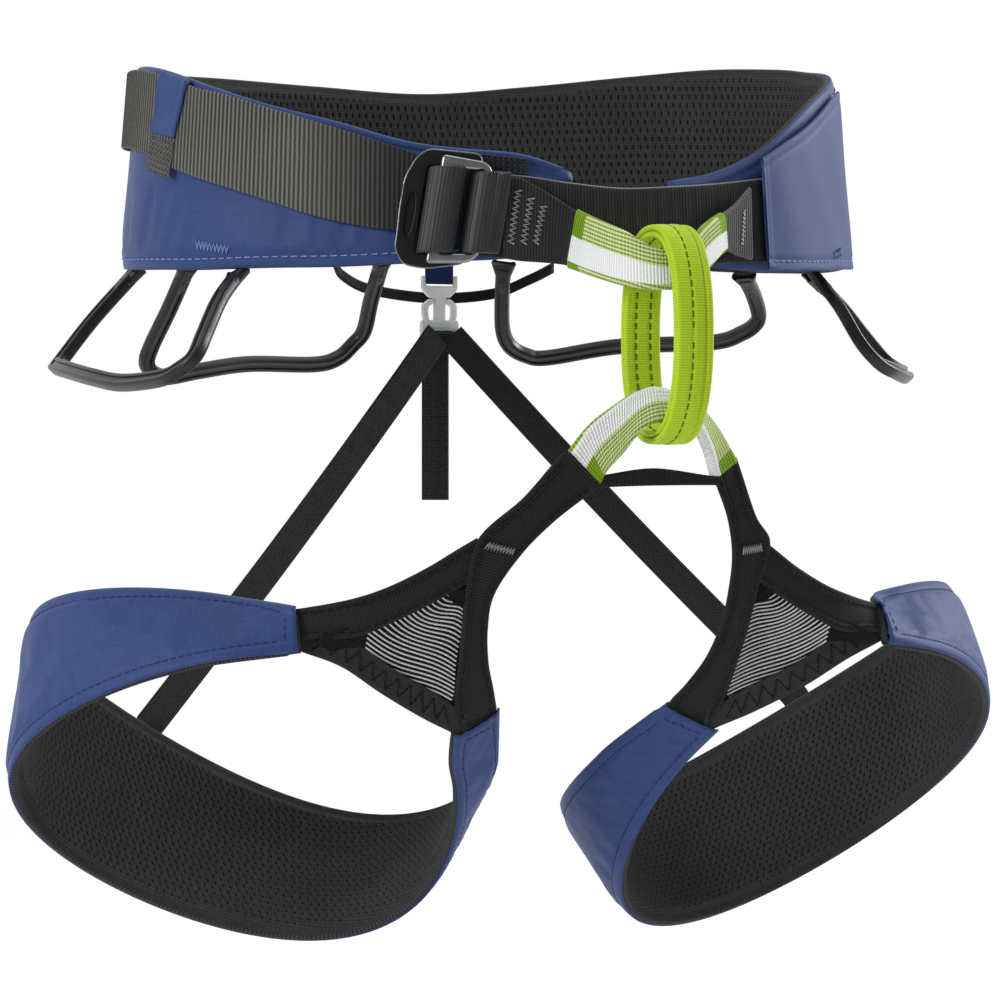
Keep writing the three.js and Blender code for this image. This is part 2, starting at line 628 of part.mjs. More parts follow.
// ---- assembly -----------------------------------------------------------
waistPad();
beltWebbing();
keeper();
buckle();
tieIn('upper', UPPER_TIE_IN, 3, 9, 'green');
tieIn('lower', LOWER_TIE_IN, 0, 7, 'green');
belayLoop();
crossStrap();
leg('right');
leg('left');
for (const [place, rows] of Object.entries(GEAR_LOOPS)) gearLoop(place, rows);
haulLoop();
rearClip();

export default model;
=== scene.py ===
"""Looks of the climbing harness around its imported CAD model. Tables are in millimetres, as worn:
+X the wearer's left, +Y their back, +Z up. Meshes are scaled to metres when they are built."""
import math

import bpy
import numpy as np
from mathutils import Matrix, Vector


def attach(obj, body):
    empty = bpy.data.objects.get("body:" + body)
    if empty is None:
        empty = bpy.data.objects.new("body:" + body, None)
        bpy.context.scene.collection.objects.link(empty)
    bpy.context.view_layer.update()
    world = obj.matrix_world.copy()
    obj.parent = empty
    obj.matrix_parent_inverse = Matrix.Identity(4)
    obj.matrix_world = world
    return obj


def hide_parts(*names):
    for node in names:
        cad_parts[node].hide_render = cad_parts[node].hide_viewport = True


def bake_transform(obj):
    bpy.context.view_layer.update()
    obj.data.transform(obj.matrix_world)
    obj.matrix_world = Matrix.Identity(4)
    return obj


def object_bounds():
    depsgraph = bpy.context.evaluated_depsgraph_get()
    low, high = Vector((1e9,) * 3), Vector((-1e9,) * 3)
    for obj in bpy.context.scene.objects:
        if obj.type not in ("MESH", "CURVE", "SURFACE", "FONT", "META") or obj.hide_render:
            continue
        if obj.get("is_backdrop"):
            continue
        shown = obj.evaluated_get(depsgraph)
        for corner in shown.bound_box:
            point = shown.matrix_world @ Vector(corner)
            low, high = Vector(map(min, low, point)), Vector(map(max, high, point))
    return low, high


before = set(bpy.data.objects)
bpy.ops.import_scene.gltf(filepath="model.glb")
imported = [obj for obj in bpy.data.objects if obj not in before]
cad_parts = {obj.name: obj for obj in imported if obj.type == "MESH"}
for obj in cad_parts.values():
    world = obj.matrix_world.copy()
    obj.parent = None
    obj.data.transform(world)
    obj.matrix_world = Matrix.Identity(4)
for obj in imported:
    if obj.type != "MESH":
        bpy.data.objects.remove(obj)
CAD_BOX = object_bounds()
MM = 0.001

# ---- driving dimensions
WAIST_HALF_WIDTH = 151
WAIST_HALF_DEPTH = 110
WAIST_X = 1.5
WAIST_FLARE = 0.08            # the ring widens downwards by this much per mm
WAIST_THICK = 8               # pad with its two cloths
LEG_THICK = 7.4
WEBBING = 1.8
THIN_WEBBING = 1.4
TIE_IN_WEBBING = 2.4
SLEEVE = 1.1                  # wall and play of the covers on the tie-in webbing
ELASTIC_WIDTH = 12.5
LEG_MIDLINE = -2
YOKE_MIDLINE = 0.3
CLIP_X = 19
CLIP_Y = 104
FORWARD = (0, -1, 0)
BACKWARD = (0, 1, 0)

# ---- finishes


def ink(code, shade=1.0):
    """Linear colour of a hex code, darkened or lightened by a factor."""
    parts = [int(code[i:i + 2], 16) / 255 for i in (0, 2, 4)]
    return [shade * (c / 12.92 if c <= 0.04045 else ((c + 0.055) / 1.055) ** 2.4) for c in parts] + [1]


class Value:
    """An output of a material's node, which can be added, subtracted and multiplied."""

    def __init__(self, finish, socket):
        self.finish = finish
        self.socket = socket

    def __add__(self, other):
        return self.finish.math("ADD", self, other)

    def __sub__(self, other):
        return self.finish.math("SUBTRACT", self, other)

    def __rsub__(self, other):
        return self.finish.math("SUBTRACT", other, self)

    def __mul__(self, other):
        return self.finish.math("MULTIPLY", self, other)


class Finish:
    """A Principled material with short calls for its nodes."""

    def __init__(self, name, roughness=0.8, metallic=0.0, **sockets):
        self.material = bpy.data.materials.new(name)
        self.material.use_nodes = True
        self.tree = self.material.node_tree
        self.shader = self.tree.nodes["Principled BSDF"]
        gloss = 0.5 if metallic else 0.14
        values = {"Roughness": roughness, "Metallic": metallic, "Specular_IOR_Level": gloss}
        for key, value in {**values, **sockets}.items():
            self.shader.inputs[key.replace("_", " ")].default_value = value

    def node(self, kind, inputs, output=0, **settings):
        """An output of a new node whose inputs are values, hex codes or numbers."""
        made = self.tree.nodes.new(kind)
        for key, value in settings.items():
            setattr(made, key, value)
        for key, value in inputs.items():
            self.put(value, made.inputs[key])
        return Value(self, made.outputs[output])

    def put(self, value, socket):
        if isinstance(value, Value):
            self.tree.links.new(value.socket, socket)
        else:
            socket.default_value = ink(value) if isinstance(value, str) else value

    def math(self, operation, *values):
        return self.node("ShaderNodeMath", dict(enumerate(values)), operation=operation)

    def cloth(self, layer="Cloth", size=1000):
        """Along and across the piece: millimetres in layer Cloth, shares in layer Share."""
        uv = self.node("ShaderNodeUVMap", {}, uv_map=layer)
        return [self.node("ShaderNodeSeparateXYZ", {0: uv}, axis) * size for axis in (0, 1)]

    def wave(self, place, pitch):
        """Ridges from 0 to 1."""
        return self.math("SINE", place * (2 * math.pi / pitch)) * 0.5 + 0.5

    def noise(self, scale, detail=3.0, stretch=(1, 1, 1)):
        """Noise in the piece's own space, with `scale` features per metre."""
        where = self.node("ShaderNodeTexCoord", {}, "Object")
        place = self.node("ShaderNodeMapping", {0: where, "Scale": stretch})
        return self.node("ShaderNodeTexNoise", {"Vector": place, "Scale": scale, "Detail": detail}, "Fac")

    def threads(self, along, across):
        """Noise drawn out along the threads, in millimetres of cloth."""
        u, v = self.cloth()
        place = self.node("ShaderNodeCombineXYZ", {0: u * (1 / along), 1: v * (1 / across)})
        return self.node("ShaderNodeTexNoise", {"Vector": place, "Scale": 1, "Detail": 2}, "Fac")

    def ramp(self, value, low, high):
        return self.node("ShaderNodeMapRange", {"Value": value, "From Min": low, "From Max": high},
                         clamp=True)

    def mix(self, share, a, b):
        return self.node("ShaderNodeMix", {0: share, 6: a, 7: b}, 2, data_type="RGBA")

    def finish(self, colour, roughness=None, height=None, depth=0.2):
        """Sets the colour, the roughness and a bump of `depth` mm."""
        self.put(colour, self.shader.inputs["Base Color"])
        if roughness is not None:
            self.put(roughness, self.shader.inputs["Roughness"])
        if height is not None:
            bump = {"Strength": 1, "Distance": depth * MM, "Height": height}
            self.put(self.node("ShaderNodeBump", bump), self.shader.inputs["Normal"])
        return self.material


def plain_weave(name, light, dark, pitch=0.55, sheen=0.05, roughness=0.5):
    """Fine coated cloth with slubs along both thread directions."""
    f = Finish(name, roughness, Sheen_Weight=sheen, Sheen_Roughness=0.5)
    u, v = f.cloth()
    weave = f.wave(u, pitch) * f.wave(v, pitch)
    slubs = f.threads(9, 0.5) + f.threads(0.5, 9)
    share = f.ramp(slubs * 0.5 + f.noise(14, 4) * 0.12 + weave * 0.25, 0.3, 1.05)
    return f.finish(f.mix(share, dark, light), share * 0.16 + (roughness - 0.08), weave + slubs * 0.5, 0.05)


def ribbed(name, light, dark, pitch, roughness=0.78, twist=0.8, depth=0.08, darker_start=None, gloss=0.14):
    """Webbing: ribs across its length, each of twisted thread. Where two distances are given, its colour is
    darker, with less contrast between the ribs, before the first, and lightens up to the second."""
    f = Finish(name, roughness, Sheen_Weight=0.03, Sheen_Roughness=0.6, Specular_IOR_Level=gloss)
    u, v = f.cloth()
    rib = f.wave(u, pitch)
    slant = f.wave(v + u * 0.9, twist)
    # The rib wave paints shade: lighter on each rib and darker in the grooves between ribs, over the yarn's
    # own uneven tone.
    tone = rib * 0.55 + slant * 0.2 + f.threads(0.6, 0.6) * 0.5 + f.noise(22, 3) * 0.25
    share = f.ramp(tone, 0.35, 1.25)
    # Darker colour towards the start of the webbing, lightening up to the second distance.
    if darker_start:
        share = share * (f.ramp(u, *darker_start) * 0.8 + 0.2)
    return f.finish(f.mix(share, dark, light), None, rib * 0.8 + slant * 0.5, depth)


def diamond_weave(name, light, dark, pitch=1.5):
    """Woven elastic: small diamonds from two slanting families of threads."""
    f = Finish(name, 0.8, Sheen_Weight=0.02)
    u, v = f.cloth()
    cell = f.math("ABSOLUTE", f.wave(u + v, pitch) - f.wave(u - v, pitch))
    share = f.ramp(cell * 0.75 + f.threads(0.7, 0.7) * 0.4, 0.2, 1.0)
    return f.finish(f.mix(share, dark, light), None, cell, 0.15)


def air_mesh(name, light, dark):
    """Knitted spacer cloth, with painted shade: near black in its slits."""
    f = Finish(name, 0.88, Sheen_Weight=0.02)
    u, v = f.cloth()
    knit = f.wave(u, 0.8) * f.wave(v, 1.1)
    share = f.ramp(knit * 0.45 + f.threads(0.8, 2.5) * 0.5 + f.noise(30, 4) * 0.3, 0.3, 1.1)
    # Painted shade: where the Share layer marks a slit, the colour goes near black.
    slit = f.ramp(f.cloth("Share", 1)[1], 0.4, 0.85)
    return f.finish(f.mix(slit, f.mix(share, dark, light), "0a0a0a"), None, knit, 0.08)


def moulded(name, code, roughness=0.42):
    f = Finish(name, roughness, Specular_IOR_Level=0.4)
    flow = f.noise(40, 3)
    tone = f.mix(f.ramp(flow, 0.3, 0.75), code, ink(code, 1.5))
    return f.finish(tone, flow * 0.25 + (roughness - 0.12), f.noise(900, 3), 0.03)


def satin_metal(name, code, roughness, metallic=1.0):
    f = Finish(name, roughness, metallic)
    brushed = f.noise(260, 4, (1, 1, 14))
    tone = f.mix(f.ramp(f.noise(60, 5), 0.35, 0.7), ink(code, 0.8), code)
    return f.finish(tone, brushed * 0.22 + (roughness - 0.1), brushed, 0.015)


def sewing_thread(name, code, roughness=0.55):
    f = Finish(name, roughness, Sheen_Weight=0.04)
    ply = f.noise(2500, 2)
    return f.finish(f.mix(f.ramp(ply, 0.35, 0.65), ink(code, 0.6), code), None, ply, 0.05)


def clear_plastic(name):
    f = Finish(name, 0.32, Transmission_Weight=0.2, IOR=1.49, Coat_Weight=0.3, Subsurface_Weight=0.3,
               Subsurface_Scale=0.004)
    cloud = f.noise(120, 3)
    tone = f.mix(f.ramp(cloud, 0.3, 0.7), "e2e5e8", "f6f7f8")
    return f.finish(tone, cloud * 0.2 + 0.22, cloud, 0.04)


def banded_cover(name, white_from, white_to, turn):
    """Woven sleeve: a white band between two shares of its width, green check beside it and
    lime ends. From share `turn` of its length on, the band lies on the other side."""
    f = Finish(name, 0.72, Sheen_Weight=0.03)
    u, v = f.cloth()
    along, across = f.cloth("Share", 1)
    flip = f.ramp(along, turn, turn + 0.08)
    side = across * (1 - flip * 2) - flip * 0.5
    inside = f.ramp(side, white_from, white_from + 0.02) * (1 - f.ramp(side, white_to, white_to + 0.02))
    rib = f.wave(u, 1.15)
    rows = f.wave(v, 1.5)
    check = f.ramp(rows * 0.75 + f.wave(u + rows * 0.5, 1.5) * 0.4, 0.45, 0.8)
    ends = f.math("MAXIMUM", f.math("LESS_THAN", along, 0.07), f.math("GREATER_THAN", along, 0.93))
    edge = f.mix(ends, f.mix(check, "ccd6a0", "738f22"), f.mix(rib, "86b010", "4f7206"))
    tone = f.mix(inside, edge, f.mix(rib * 0.55, "f2f3f3", "bcbfc2"))
    return f.finish(f.mix(f.threads(0.6, 0.6) * 0.14, tone, "79805c"), None, rib + rows * 0.6, 0.12)


BLUE = plain_weave("blue_face_cloth", "3c5086", "263662")
BLUE_EDGE = plain_weave("blue_edge_binding", "3c5086", "24345f", 0.5, 0.06, 0.42)
NAVY = plain_weave("navy_tab_cloth", "1f3163", "131f45", 0.7)
LINING = air_mesh("air_mesh_lining", "4a4a4c", "262628")
RIM = ribbed("lining_edge_knit", "454546", "1b1b1c", 1.1)
FOAM = moulded("foam_core", "2a2a2c", 0.9)
TAIL = ribbed("grey_ribbed_webbing", "807f7c", "141413", 1.9, twist=0.9, depth=0.2, darker_start=(26, 64))
GREY_WEBBING = ribbed("grey_bartack_webbing", "747473", "1d1d1d", 1.6)
DARK = ribbed("dark_fine_webbing", "3e3e3f", "141415", 1.25)
ROLLED = ribbed("rolled_buckle_webbing", "3c3c3d", "141415", 1.25, 0.45, gloss=0.35)
YOKE = ribbed("black_yoke_webbing", "2b2b2c", "0e0e0f", 1.1)
ELASTIC = diamond_weave("black_woven_elastic", "454546", "0b0b0c", 1.9)
BAND = plain_weave("elastic_band_knit", "3f3f41", "19191a", 0.9, 0.03, 0.8)
BLACK_CLOTH = plain_weave("black_window_cloth", "1c1c1d", "0b0b0c", 0.8, 0.02, 0.85)
BLACK_NET = sewing_thread("dark_net_thread", "303031", 0.7)
GREY_NET = sewing_thread("grey_net_thread", "6a6865", 0.7)
PALE_THREAD = sewing_thread("pale_stripe_thread", "dcdedf", 0.6)
BLUE_THREAD = sewing_thread("light_blue_thread", "8197cc")
DEEP_THREAD = sewing_thread("deep_blue_thread", "2b3c6c")
GREY_THREAD = sewing_thread("grey_bartack_thread", "8d8d8e")
WHITE_THREAD = sewing_thread("white_bartack_thread", "d6d6d4")
BLACK_THREAD = sewing_thread("black_thread", "060607")
LIME_THREAD = sewing_thread("dark_lime_thread", "4a6a06")
LIME = ribbed("lime_tubular_webbing", "c2d92e", "93b31a", 1.0, 0.6, depth=0.05)
PLASTIC = moulded("black_moulded_plastic", "111213", 0.36)
CLEAR = clear_plastic("translucent_plastic")
BLACK_METAL = satin_metal("black_anodised_alloy", "0f0f10", 0.42, 0.4)
SILVER = satin_metal("satin_alloy", "9b9da0", 0.3)
WORN_EDGE = satin_metal("bare_alloy_edge", "8c8e90", 0.35)
UPPER_COVER = banded_cover("upper_tie_in_sleeve", -0.78, 0.08, 2)
LOWER_COVER = banded_cover("lower_tie_in_sleeve", 0.02, 0.9, 0.6)

# ---- mesh building


def add(name, data):
    """A new object in the scene."""
    made = bpy.data.objects.new(name, data)
    bpy.context.scene.collection.objects.link(made)
    return made


def piece(name, points, faces, finish, body, cloth=None, share=None):
    """A mesh object from points in mm; cloth and share are coordinates per corner."""
    mesh = bpy.data.meshes.new(name)
    mesh.from_pydata((np.asarray(points, float) * MM).tolist(), [], faces)
    for layer, values in (("Cloth", cloth), ("Share", share)):
        if values is not None:
            uv = mesh.uv_layers.new(name=layer)
            uv.data.foreach_set("uv", np.asarray(values, np.float32).ravel())
    mesh.materials.append(finish)
    mesh.polygons.foreach_set("use_smooth", [True] * len(mesh.polygons))
    mesh.validate()
    made = add(name, mesh)
    if body:
        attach(made, body)
    return made


def dress(made, node=None):
    """Hides the CAD node whose place a piece takes, if one is given."""
    if node:
        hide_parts(node)
    return made


def quads(rows, columns, loop_rows=False, loop_columns=False):
    """Faces of a grid of points, row by row, and each face's corners as (row, column)."""
    i, j = np.meshgrid(np.arange(rows - (not loop_rows)), np.arange(columns - (not loop_columns)),
                       indexing="ij")
    i, j = i.ravel(), j.ravel()
    corners = [(i, j), (i + 1, j), (i + 1, j + 1), (i, j + 1)]
    faces = np.stack([(a % rows) * columns + b % columns for a, b in corners], 1)
    return faces, np.stack([np.stack(c, 1) for c in corners], 1)


def caps(rows, columns, base=0):
    """The two end faces of a tube of points."""
    last = base + (rows - 1) * columns
    return [list(range(base, base + columns))[::-1], list(range(last, last + columns))]


def corner_values(corners, values):
    """Values per face corner from a grid of values per point."""
    return values[corners[..., 0], corners[..., 1] % values.shape[1]].reshape(-1, 2)


def unit(v):
    return v / np.maximum(np.linalg.norm(v, axis=-1, keepdims=True), 1e-9)


def travelled(points):
    """Distance along a path at each of its points."""
    return np.r_[0, np.cumsum(np.linalg.norm(np.diff(points, axis=0), axis=1))]


def read(place, places, values):
    """Rows of a table of any shape, interpolated at new places."""
    columns = values.reshape(len(values), -1).T
    cut = np.stack([np.interp(place, places, column) for column in columns], -1)
    return cut.reshape(np.shape(place) + values.shape[1:])


def ridges(x, pitch):
    return np.cos(2 * np.pi * x / pitch)


def dent(x, width):
    """A soft bump of height 1 around zero."""
    return np.exp(-(x / width) ** 2)


def smooth(table, fine=12):
    """Dense Catmull-Rom curve through the rows of a table of any shape."""
    rows = np.asarray(table, float)
    shape = rows.shape[1:]
    rows = rows.reshape(len(rows), -1)
    rows = np.vstack([2 * rows[0] - rows[1], rows, 2 * rows[-1] - rows[-2]])
    t = np.linspace(0, 1, fine, endpoint=False)[:, None]
    parts = []
    for a, b, c, d in zip(rows, rows[1:], rows[2:], rows[3:]):
        parts.append(0.5 * (2 * b + (c - a) * t + (2 * a - 5 * b + 4 * c - d) * t ** 2
                            + (3 * b - a - 3 * c + d) * t ** 3))
    return np.vstack(parts + [rows[-2][None]]).reshape((-1,) + shape)


class Strip:
    """A band between two edges: places are (mm along, mm across from the middle, mm off)."""

    def __init__(self, rows, facing, closed=False, step=1.0):
        rows = np.asarray(rows, float)
        if closed:
            rows = np.concatenate([rows, rows[:1]])
        far = travelled(rows.mean(1))
        self.length = far[-1]
        self.closed = closed
        self.along = np.linspace(0, self.length, max(round(self.length / step), 2) + 1)
        even = read(self.along, far, rows)
        self.middle = even.mean(1)
        across = even[:, 1] - even[:, 0]
        self.half = np.linalg.norm(across, axis=1) / 2
        self.side = unit(across)
        run = np.gradient(self.middle, axis=0)
        if closed:
            run[0] = run[-1] = self.middle[1] - self.middle[-2]
        normal = unit(np.cross(unit(run), self.side))
        self.out = normal * (1 if normal[0] @ np.asarray(facing, float) > 0 else -1)

    def read(self, values, along):
        return read(np.mod(along, self.length) if self.closed else along, self.along, values)

    def width(self, along):
        return self.read(self.half, along)

    def area(self):
        """Flat area in mm2."""
        return float(np.sum((self.half[1:] + self.half[:-1]) * np.diff(self.along)))

    def at(self, along, across, off=0.0):
        along, across, off = np.broadcast_arrays(*[np.asarray(x, float) for x in (along, across, off)])
        side, out = unit(self.read(self.side, along)), unit(self.read(self.out, along))
        return self.read(self.middle, along) + side * across[..., None] + out * off[..., None]


def ribbon(name, strip, low, high, finish, body, step=1.0, columns=1.5, relief=None, grow=0.0,
           span=None):
    """A slab along the strip between two offsets, with round edges. relief(along, across) raises
    both its faces by mm."""
    start, end = span or (0, strip.length)
    s = np.linspace(start, end, max(round((end - start) / step), 1) + 1)
    half = strip.width(s)[:, None] + grow
    radius = (high - low) / 2
    inner = np.maximum(half - radius, 0.05)
    flats = max(round(2 * half.max() / columns), 2)
    turn = np.radians([60, 30, 0, -30, -60])
    flat = np.linspace(-1, 1, flats + 1) * inner
    bend = inner + radius * np.cos(turn)
    x = np.hstack([flat, bend, -flat, -bend])
    level, lift = np.ones_like(flat), np.ones_like(bend) * np.sin(turn)
    y = radius * np.hstack([level, lift, -level, -lift])
    u = np.ones_like(x) * s[:, None]
    if relief:
        y = y + np.hstack([level, 0 * lift, -level, 0 * lift]) * relief(u, x)
    points = strip.at(u, x, (low + high) / 2 + y)
    rows, around = x.shape
    looped = strip.closed and span is None
    faces, corners = quads(rows - looped, around, looped, True)
    faces = faces.tolist()
    grids = [np.stack([u, x], -1) * MM, np.stack([(u - start) / (end - start), x / half], -1)]
    layers = [corner_values(corners, grid) for grid in grids]
    if not looped:
        faces += caps(rows, around)
        layers = [np.vstack([layer, grid[0, ::-1], grid[-1]]) for layer, grid in zip(layers, grids)]
    points = points[:rows - looped].reshape(-1, 3)
    return face_out(piece(name, points, faces, finish, body, *layers))


def positions(mesh):
    co = np.zeros(len(mesh.vertices) * 3)
    mesh.vertices.foreach_get("co", co)
    return co.reshape(-1, 3)


def face_out(made):
    """Turns the faces of a closed mesh outwards."""
    mesh = made.data
    mesh.calc_loop_triangles()
    corners = np.zeros(len(mesh.loop_triangles) * 3, int)
    mesh.loop_triangles.foreach_get("vertices", corners)
    a, b, c = positions(mesh)[corners.reshape(-1, 3)].transpose(1, 0, 2)
    if np.einsum("ij,ij->i", a, np.cross(b, c)).sum() < 0:
        mesh.flip_normals()
    return made


def tubes(name, lines, radius, finish, body, sides=5, normals=None, squash=1.0):
    """Threads along lists of points in mm, as one mesh; along the normals they are flattened."""
    points, faces = [], []
    turn = np.linspace(0, 2 * np.pi, sides, endpoint=False)[:, None]
    base = 0
    for number, line in enumerate(lines):
        run = unit(np.gradient(line, axis=0))
        guide = (0.31, 0.52, 0.79) if normals is None else normals[number]
        first = unit(np.cross(run, guide))
        second = np.cross(run, first) * squash
        ring = radius * (first[:, None] * np.cos(turn) + second[:, None] * np.sin(turn))
        points.append((line[:, None] + ring).reshape(-1, 3))
        grid, _ = quads(len(line), sides, False, True)
        faces += (grid[:, ::-1] + base).tolist() + [cap[::-1] for cap in caps(len(line), sides, base)]
        base += len(line) * sides
    return piece(name, np.vstack(points), faces, finish, body)


def sew(name, lines, radius, finish, body):
    """Threads of a seam, a row of stitches or a bartack."""
    return dress(tubes(name, lines, radius, finish, body))


def stitch_lines(path, length=2.6, gap=1.3):
    """Short threads along a path of points in mm, with gaps between them."""
    far = travelled(path)
    starts = np.arange(gap, far[-1] - length, length + gap)
    return [read(a + np.linspace(0, length, 5), far, path) for a in starts]


def edge_stitches(strip, sides, inset, height, length=2.6, gap=1.3, span=None):
    """Rows of stitches, a little arched, along one or both edges of a strip."""
    start, end = span or (3, strip.length - 3)
    s = np.arange(start, end, 0.5)
    lift = 0.12 * np.abs(np.sin(np.pi * (s - start - gap) / (length + gap)))
    lines = []
    for side in sides:
        off = height(s) if callable(height) else height
        path = strip.at(s, side * (strip.width(s) - inset), off + lift)
        lines += stitch_lines(path, length, gap)
    return lines


def bartack(strip, along, across, off, width, length, turns, slant=0.0, lengthwise=False):
    """A zigzag of thread, `length` across the strip and `width` along it, or the other way."""
    t = np.linspace(0, 1, turns * 4 + 1)
    swing = (np.abs((t * turns * 2) % 2 - 1) - 0.5) * width + slant * (t - 0.5)
    run = (t - 0.5) * length
    s = along + (run if lengthwise else swing)
    x = across + (swing if lengthwise else run)
    return strip.at(s, x, off + 0.1 * np.cos(t * turns * 4 * np.pi))


NET_SQUASH = 0.55             # a net thread's height as a share of its width


def net(name, strip, pitch, radius, finish, body, off=0.0, thick=0.35):
    """Open diamond net over a strip: two families of flat slanting threads that pass over and
    under each other."""
    lines, normals = [], []
    wide = strip.half.max()
    for lean in (1, -1):
        for start in np.arange(-2 * wide, strip.length + 2 * wide, pitch):
            x = np.linspace(-1, 1, 40)
            s = start + lean * x * wide
            keep = (s > 0) & (s < strip.length)
            if keep.sum() < 4:
                continue
            s, x = s[keep], x[keep]
            weave = thick * lean * np.sin(2 * np.pi * x * wide / pitch)
            lines.append(strip.at(s, x * strip.width(s), off + weave))
            normals.append(strip.read(strip.out, s))
    s = np.linspace(0, strip.length, 30)
    for side in (-1, 1):
        lines.append(strip.at(s, side * strip.width(s), off))
        normals.append(strip.read(strip.out, s))
    return tubes(name, lines, radius, finish, body, 6, normals, NET_SQUASH)


def sweep(name, points, first, second, sections, finish, body, closed=False):
    """Closed sections of (x, y) in mm, one or one per point, carried along points with two axes."""
    sections = np.broadcast_to(sections, (len(points),) + np.shape(sections)[-2:])
    grid = points[:, None] + first[:, None] * sections[..., :1] + second[:, None] * sections[..., 1:]
    rows, columns = grid.shape[:2]
    faces, corners = quads(rows, columns, closed, True)
    faces = faces.tolist()
    u = np.arange(rows + 1)[:, None] + np.zeros(columns)
    cloth = corner_values(corners, np.stack([u, 0 * u + travelled(sections[0])], -1) * MM)
    if not closed:
        faces += caps(rows, columns)
        cloth = np.vstack([cloth, np.zeros((2 * columns, 2))])
    return face_out(piece(name, grid.reshape(-1, 3), faces, finish, body, cloth))


def bevelled(name, outlines, base, thickness, matrix, finish, body, bevel=0.4):
    """A plate from flat outlines (the first is its edge, the others holes) with round edges.
    matrix takes (x, y, height) in mm to the part's frame."""
    curve = bpy.data.curves.new(name, "CURVE")
    curve.dimensions = "2D"
    curve.fill_mode = "BOTH"
    curve.extrude = thickness / 2 - bevel
    curve.bevel_depth = bevel
    curve.bevel_resolution = 3
    curve.offset = -bevel
    for outline in outlines:
        spline = curve.splines.new("POLY")
        spline.points.add(len(outline) - 1)
        for point, (x, y) in zip(spline.points, outline):
            point.co = (x, y, 0, 1)
        spline.use_cyclic_u = True
    holder = add(name + "_outline", curve)
    shape = evaluated(holder)
    bpy.data.objects.remove(holder)
    co = positions(shape) + [0, 0, base + thickness / 2]
    faces = [list(p.vertices) for p in shape.polygons]
    bpy.data.meshes.remove(shape)
    made = piece(name, co @ matrix[:3, :3].T + matrix[:3, 3], faces, finish, body)
    weld(made, 0.02)
    made.data.set_sharp_from_angle(angle=math.radians(40))
    return face_out(made)


def evaluated(thing):
    """A new mesh of an object with its modifiers applied."""
    bpy.context.view_layer.update()
    graph = bpy.context.evaluated_depsgraph_get()
    return bpy.data.meshes.new_from_object(thing.evaluated_get(graph))


def weld(made, distance=0.01):
    """Merges the points of a piece that lie on each other."""
    merge = made.modifiers.new("merge", "WELD")
    merge.merge_threshold = distance * MM
    mesh, old = evaluated(made), made.data
    made.modifiers.clear()
    made.data = mesh
    bpy.data.meshes.remove(old)
    return made


def rounded(points, radius, steps=4):
    """A polygon with its corners cut round."""
    points = np.asarray(points, float)
    out = []
    for before, here, after in zip(np.roll(points, 1, 0), points, np.roll(points, -1, 0)):
        back, on = before - here, after - here
        reach = min(radius, np.linalg.norm(back) * 0.45, np.linalg.norm(on) * 0.45)
        a, b = here + unit(back) * reach, here + unit(on) * reach
        for t in np.linspace(0, 1, steps):
            out.append((1 - t) ** 2 * a + 2 * t * (1 - t) * here + t ** 2 * b)
    return np.array(out)


# ---- cloth
SETTLE_FRAMES = 16
SPARE_LENGTH = 0.012          # share by which the cloth is longer than its place
CLOTH = {
    "quality": 5, "mass": 0.15, "tension_stiffness": 12, "compression_stiffness": 12,
    "shear_stiffness": 4, "bending_stiffness": 0.4, "vertex_group_mass": "held",
    "shrink_min": -SPARE_LENGTH, "shrink_max": -SPARE_LENGTH, "use_pressure": True,
    "uniform_pressure_force": 0.9,
}


def settle(grid, out, pinned, cap):
    """Lets a sheet of cloth with some spare length settle between its pinned points, and
    returns how far each point moved along its outward normal, at most cap (low, high) mm."""
    faces, _ = quads(*grid.shape[:2])
    mesh = bpy.data.meshes.new("cloth")
    mesh.from_pydata((grid.reshape(-1, 3) * MM).tolist(), [], faces.tolist())
    sheet = add("cloth", mesh)
    group = sheet.vertex_groups.new(name="held")
    group.add(np.flatnonzero(pinned.ravel()).tolist(), 1.0, "REPLACE")
    cloth = sheet.modifiers.new("cloth", "CLOTH")
    for key, value in CLOTH.items():
        setattr(cloth.settings, key, value)
    cloth.settings.effector_weights.gravity = 0
    cloth.point_cache.frame_end = SETTLE_FRAMES
    for number in range(1, SETTLE_FRAMES + 1):
        bpy.context.scene.frame_set(number)
    moved = evaluated(sheet)
    places = positions(moved).reshape(grid.shape) / MM
    bpy.data.objects.remove(sheet)
    for old in (mesh, moved):
        bpy.data.meshes.remove(old)
    bpy.context.scene.frame_set(1)
    return np.clip(np.nan_to_num(((places - grid) * out).sum(-1)), *cap)


def slab(name, grid, thickness, finish, body, u, v, slits=None, normal=None):
    """A sheet of even thickness around a grid of points (rows, columns, 3)."""
    if normal is None:
        normal = unit(np.cross(np.gradient(grid, axis=0), np.gradient(grid, axis=1)))
    layers = [(grid + side * normal * thickness / 2).reshape(-1, 3) for side in (1, -1)]
    total = u.size
    index = np.arange(total).reshape(u.shape)
    faces, _ = quads(*u.shape)
    edge = np.r_[index[:-1, 0], index[-1, :-1], index[1:, -1][::-1], index[0, 1:][::-1]]
    after = np.roll(edge, -1)
    sides = np.stack([edge, edge + total, after + total, after], 1)
    faces = np.vstack([faces, faces[:, ::-1] + total, sides])
    corners = faces.ravel() % total
    cloth = np.stack([u.ravel(), v.ravel()], 1)[corners] * MM
    # Share's second value marks the slits, which the lining's material paints near black as shade.
    deep = np.zeros(total) if slits is None else slits.ravel()
    share = np.stack([0 * deep, deep], 1)[corners]
    return face_out(piece(name, np.vstack(layers), faces.tolist(), finish, body, cloth, share))


def declare_cloth(made, strip):
    """Computes the flat area of the strip, in square metres, and drops it."""
    strip.area() * MM ** 2


# ---- places on the waist


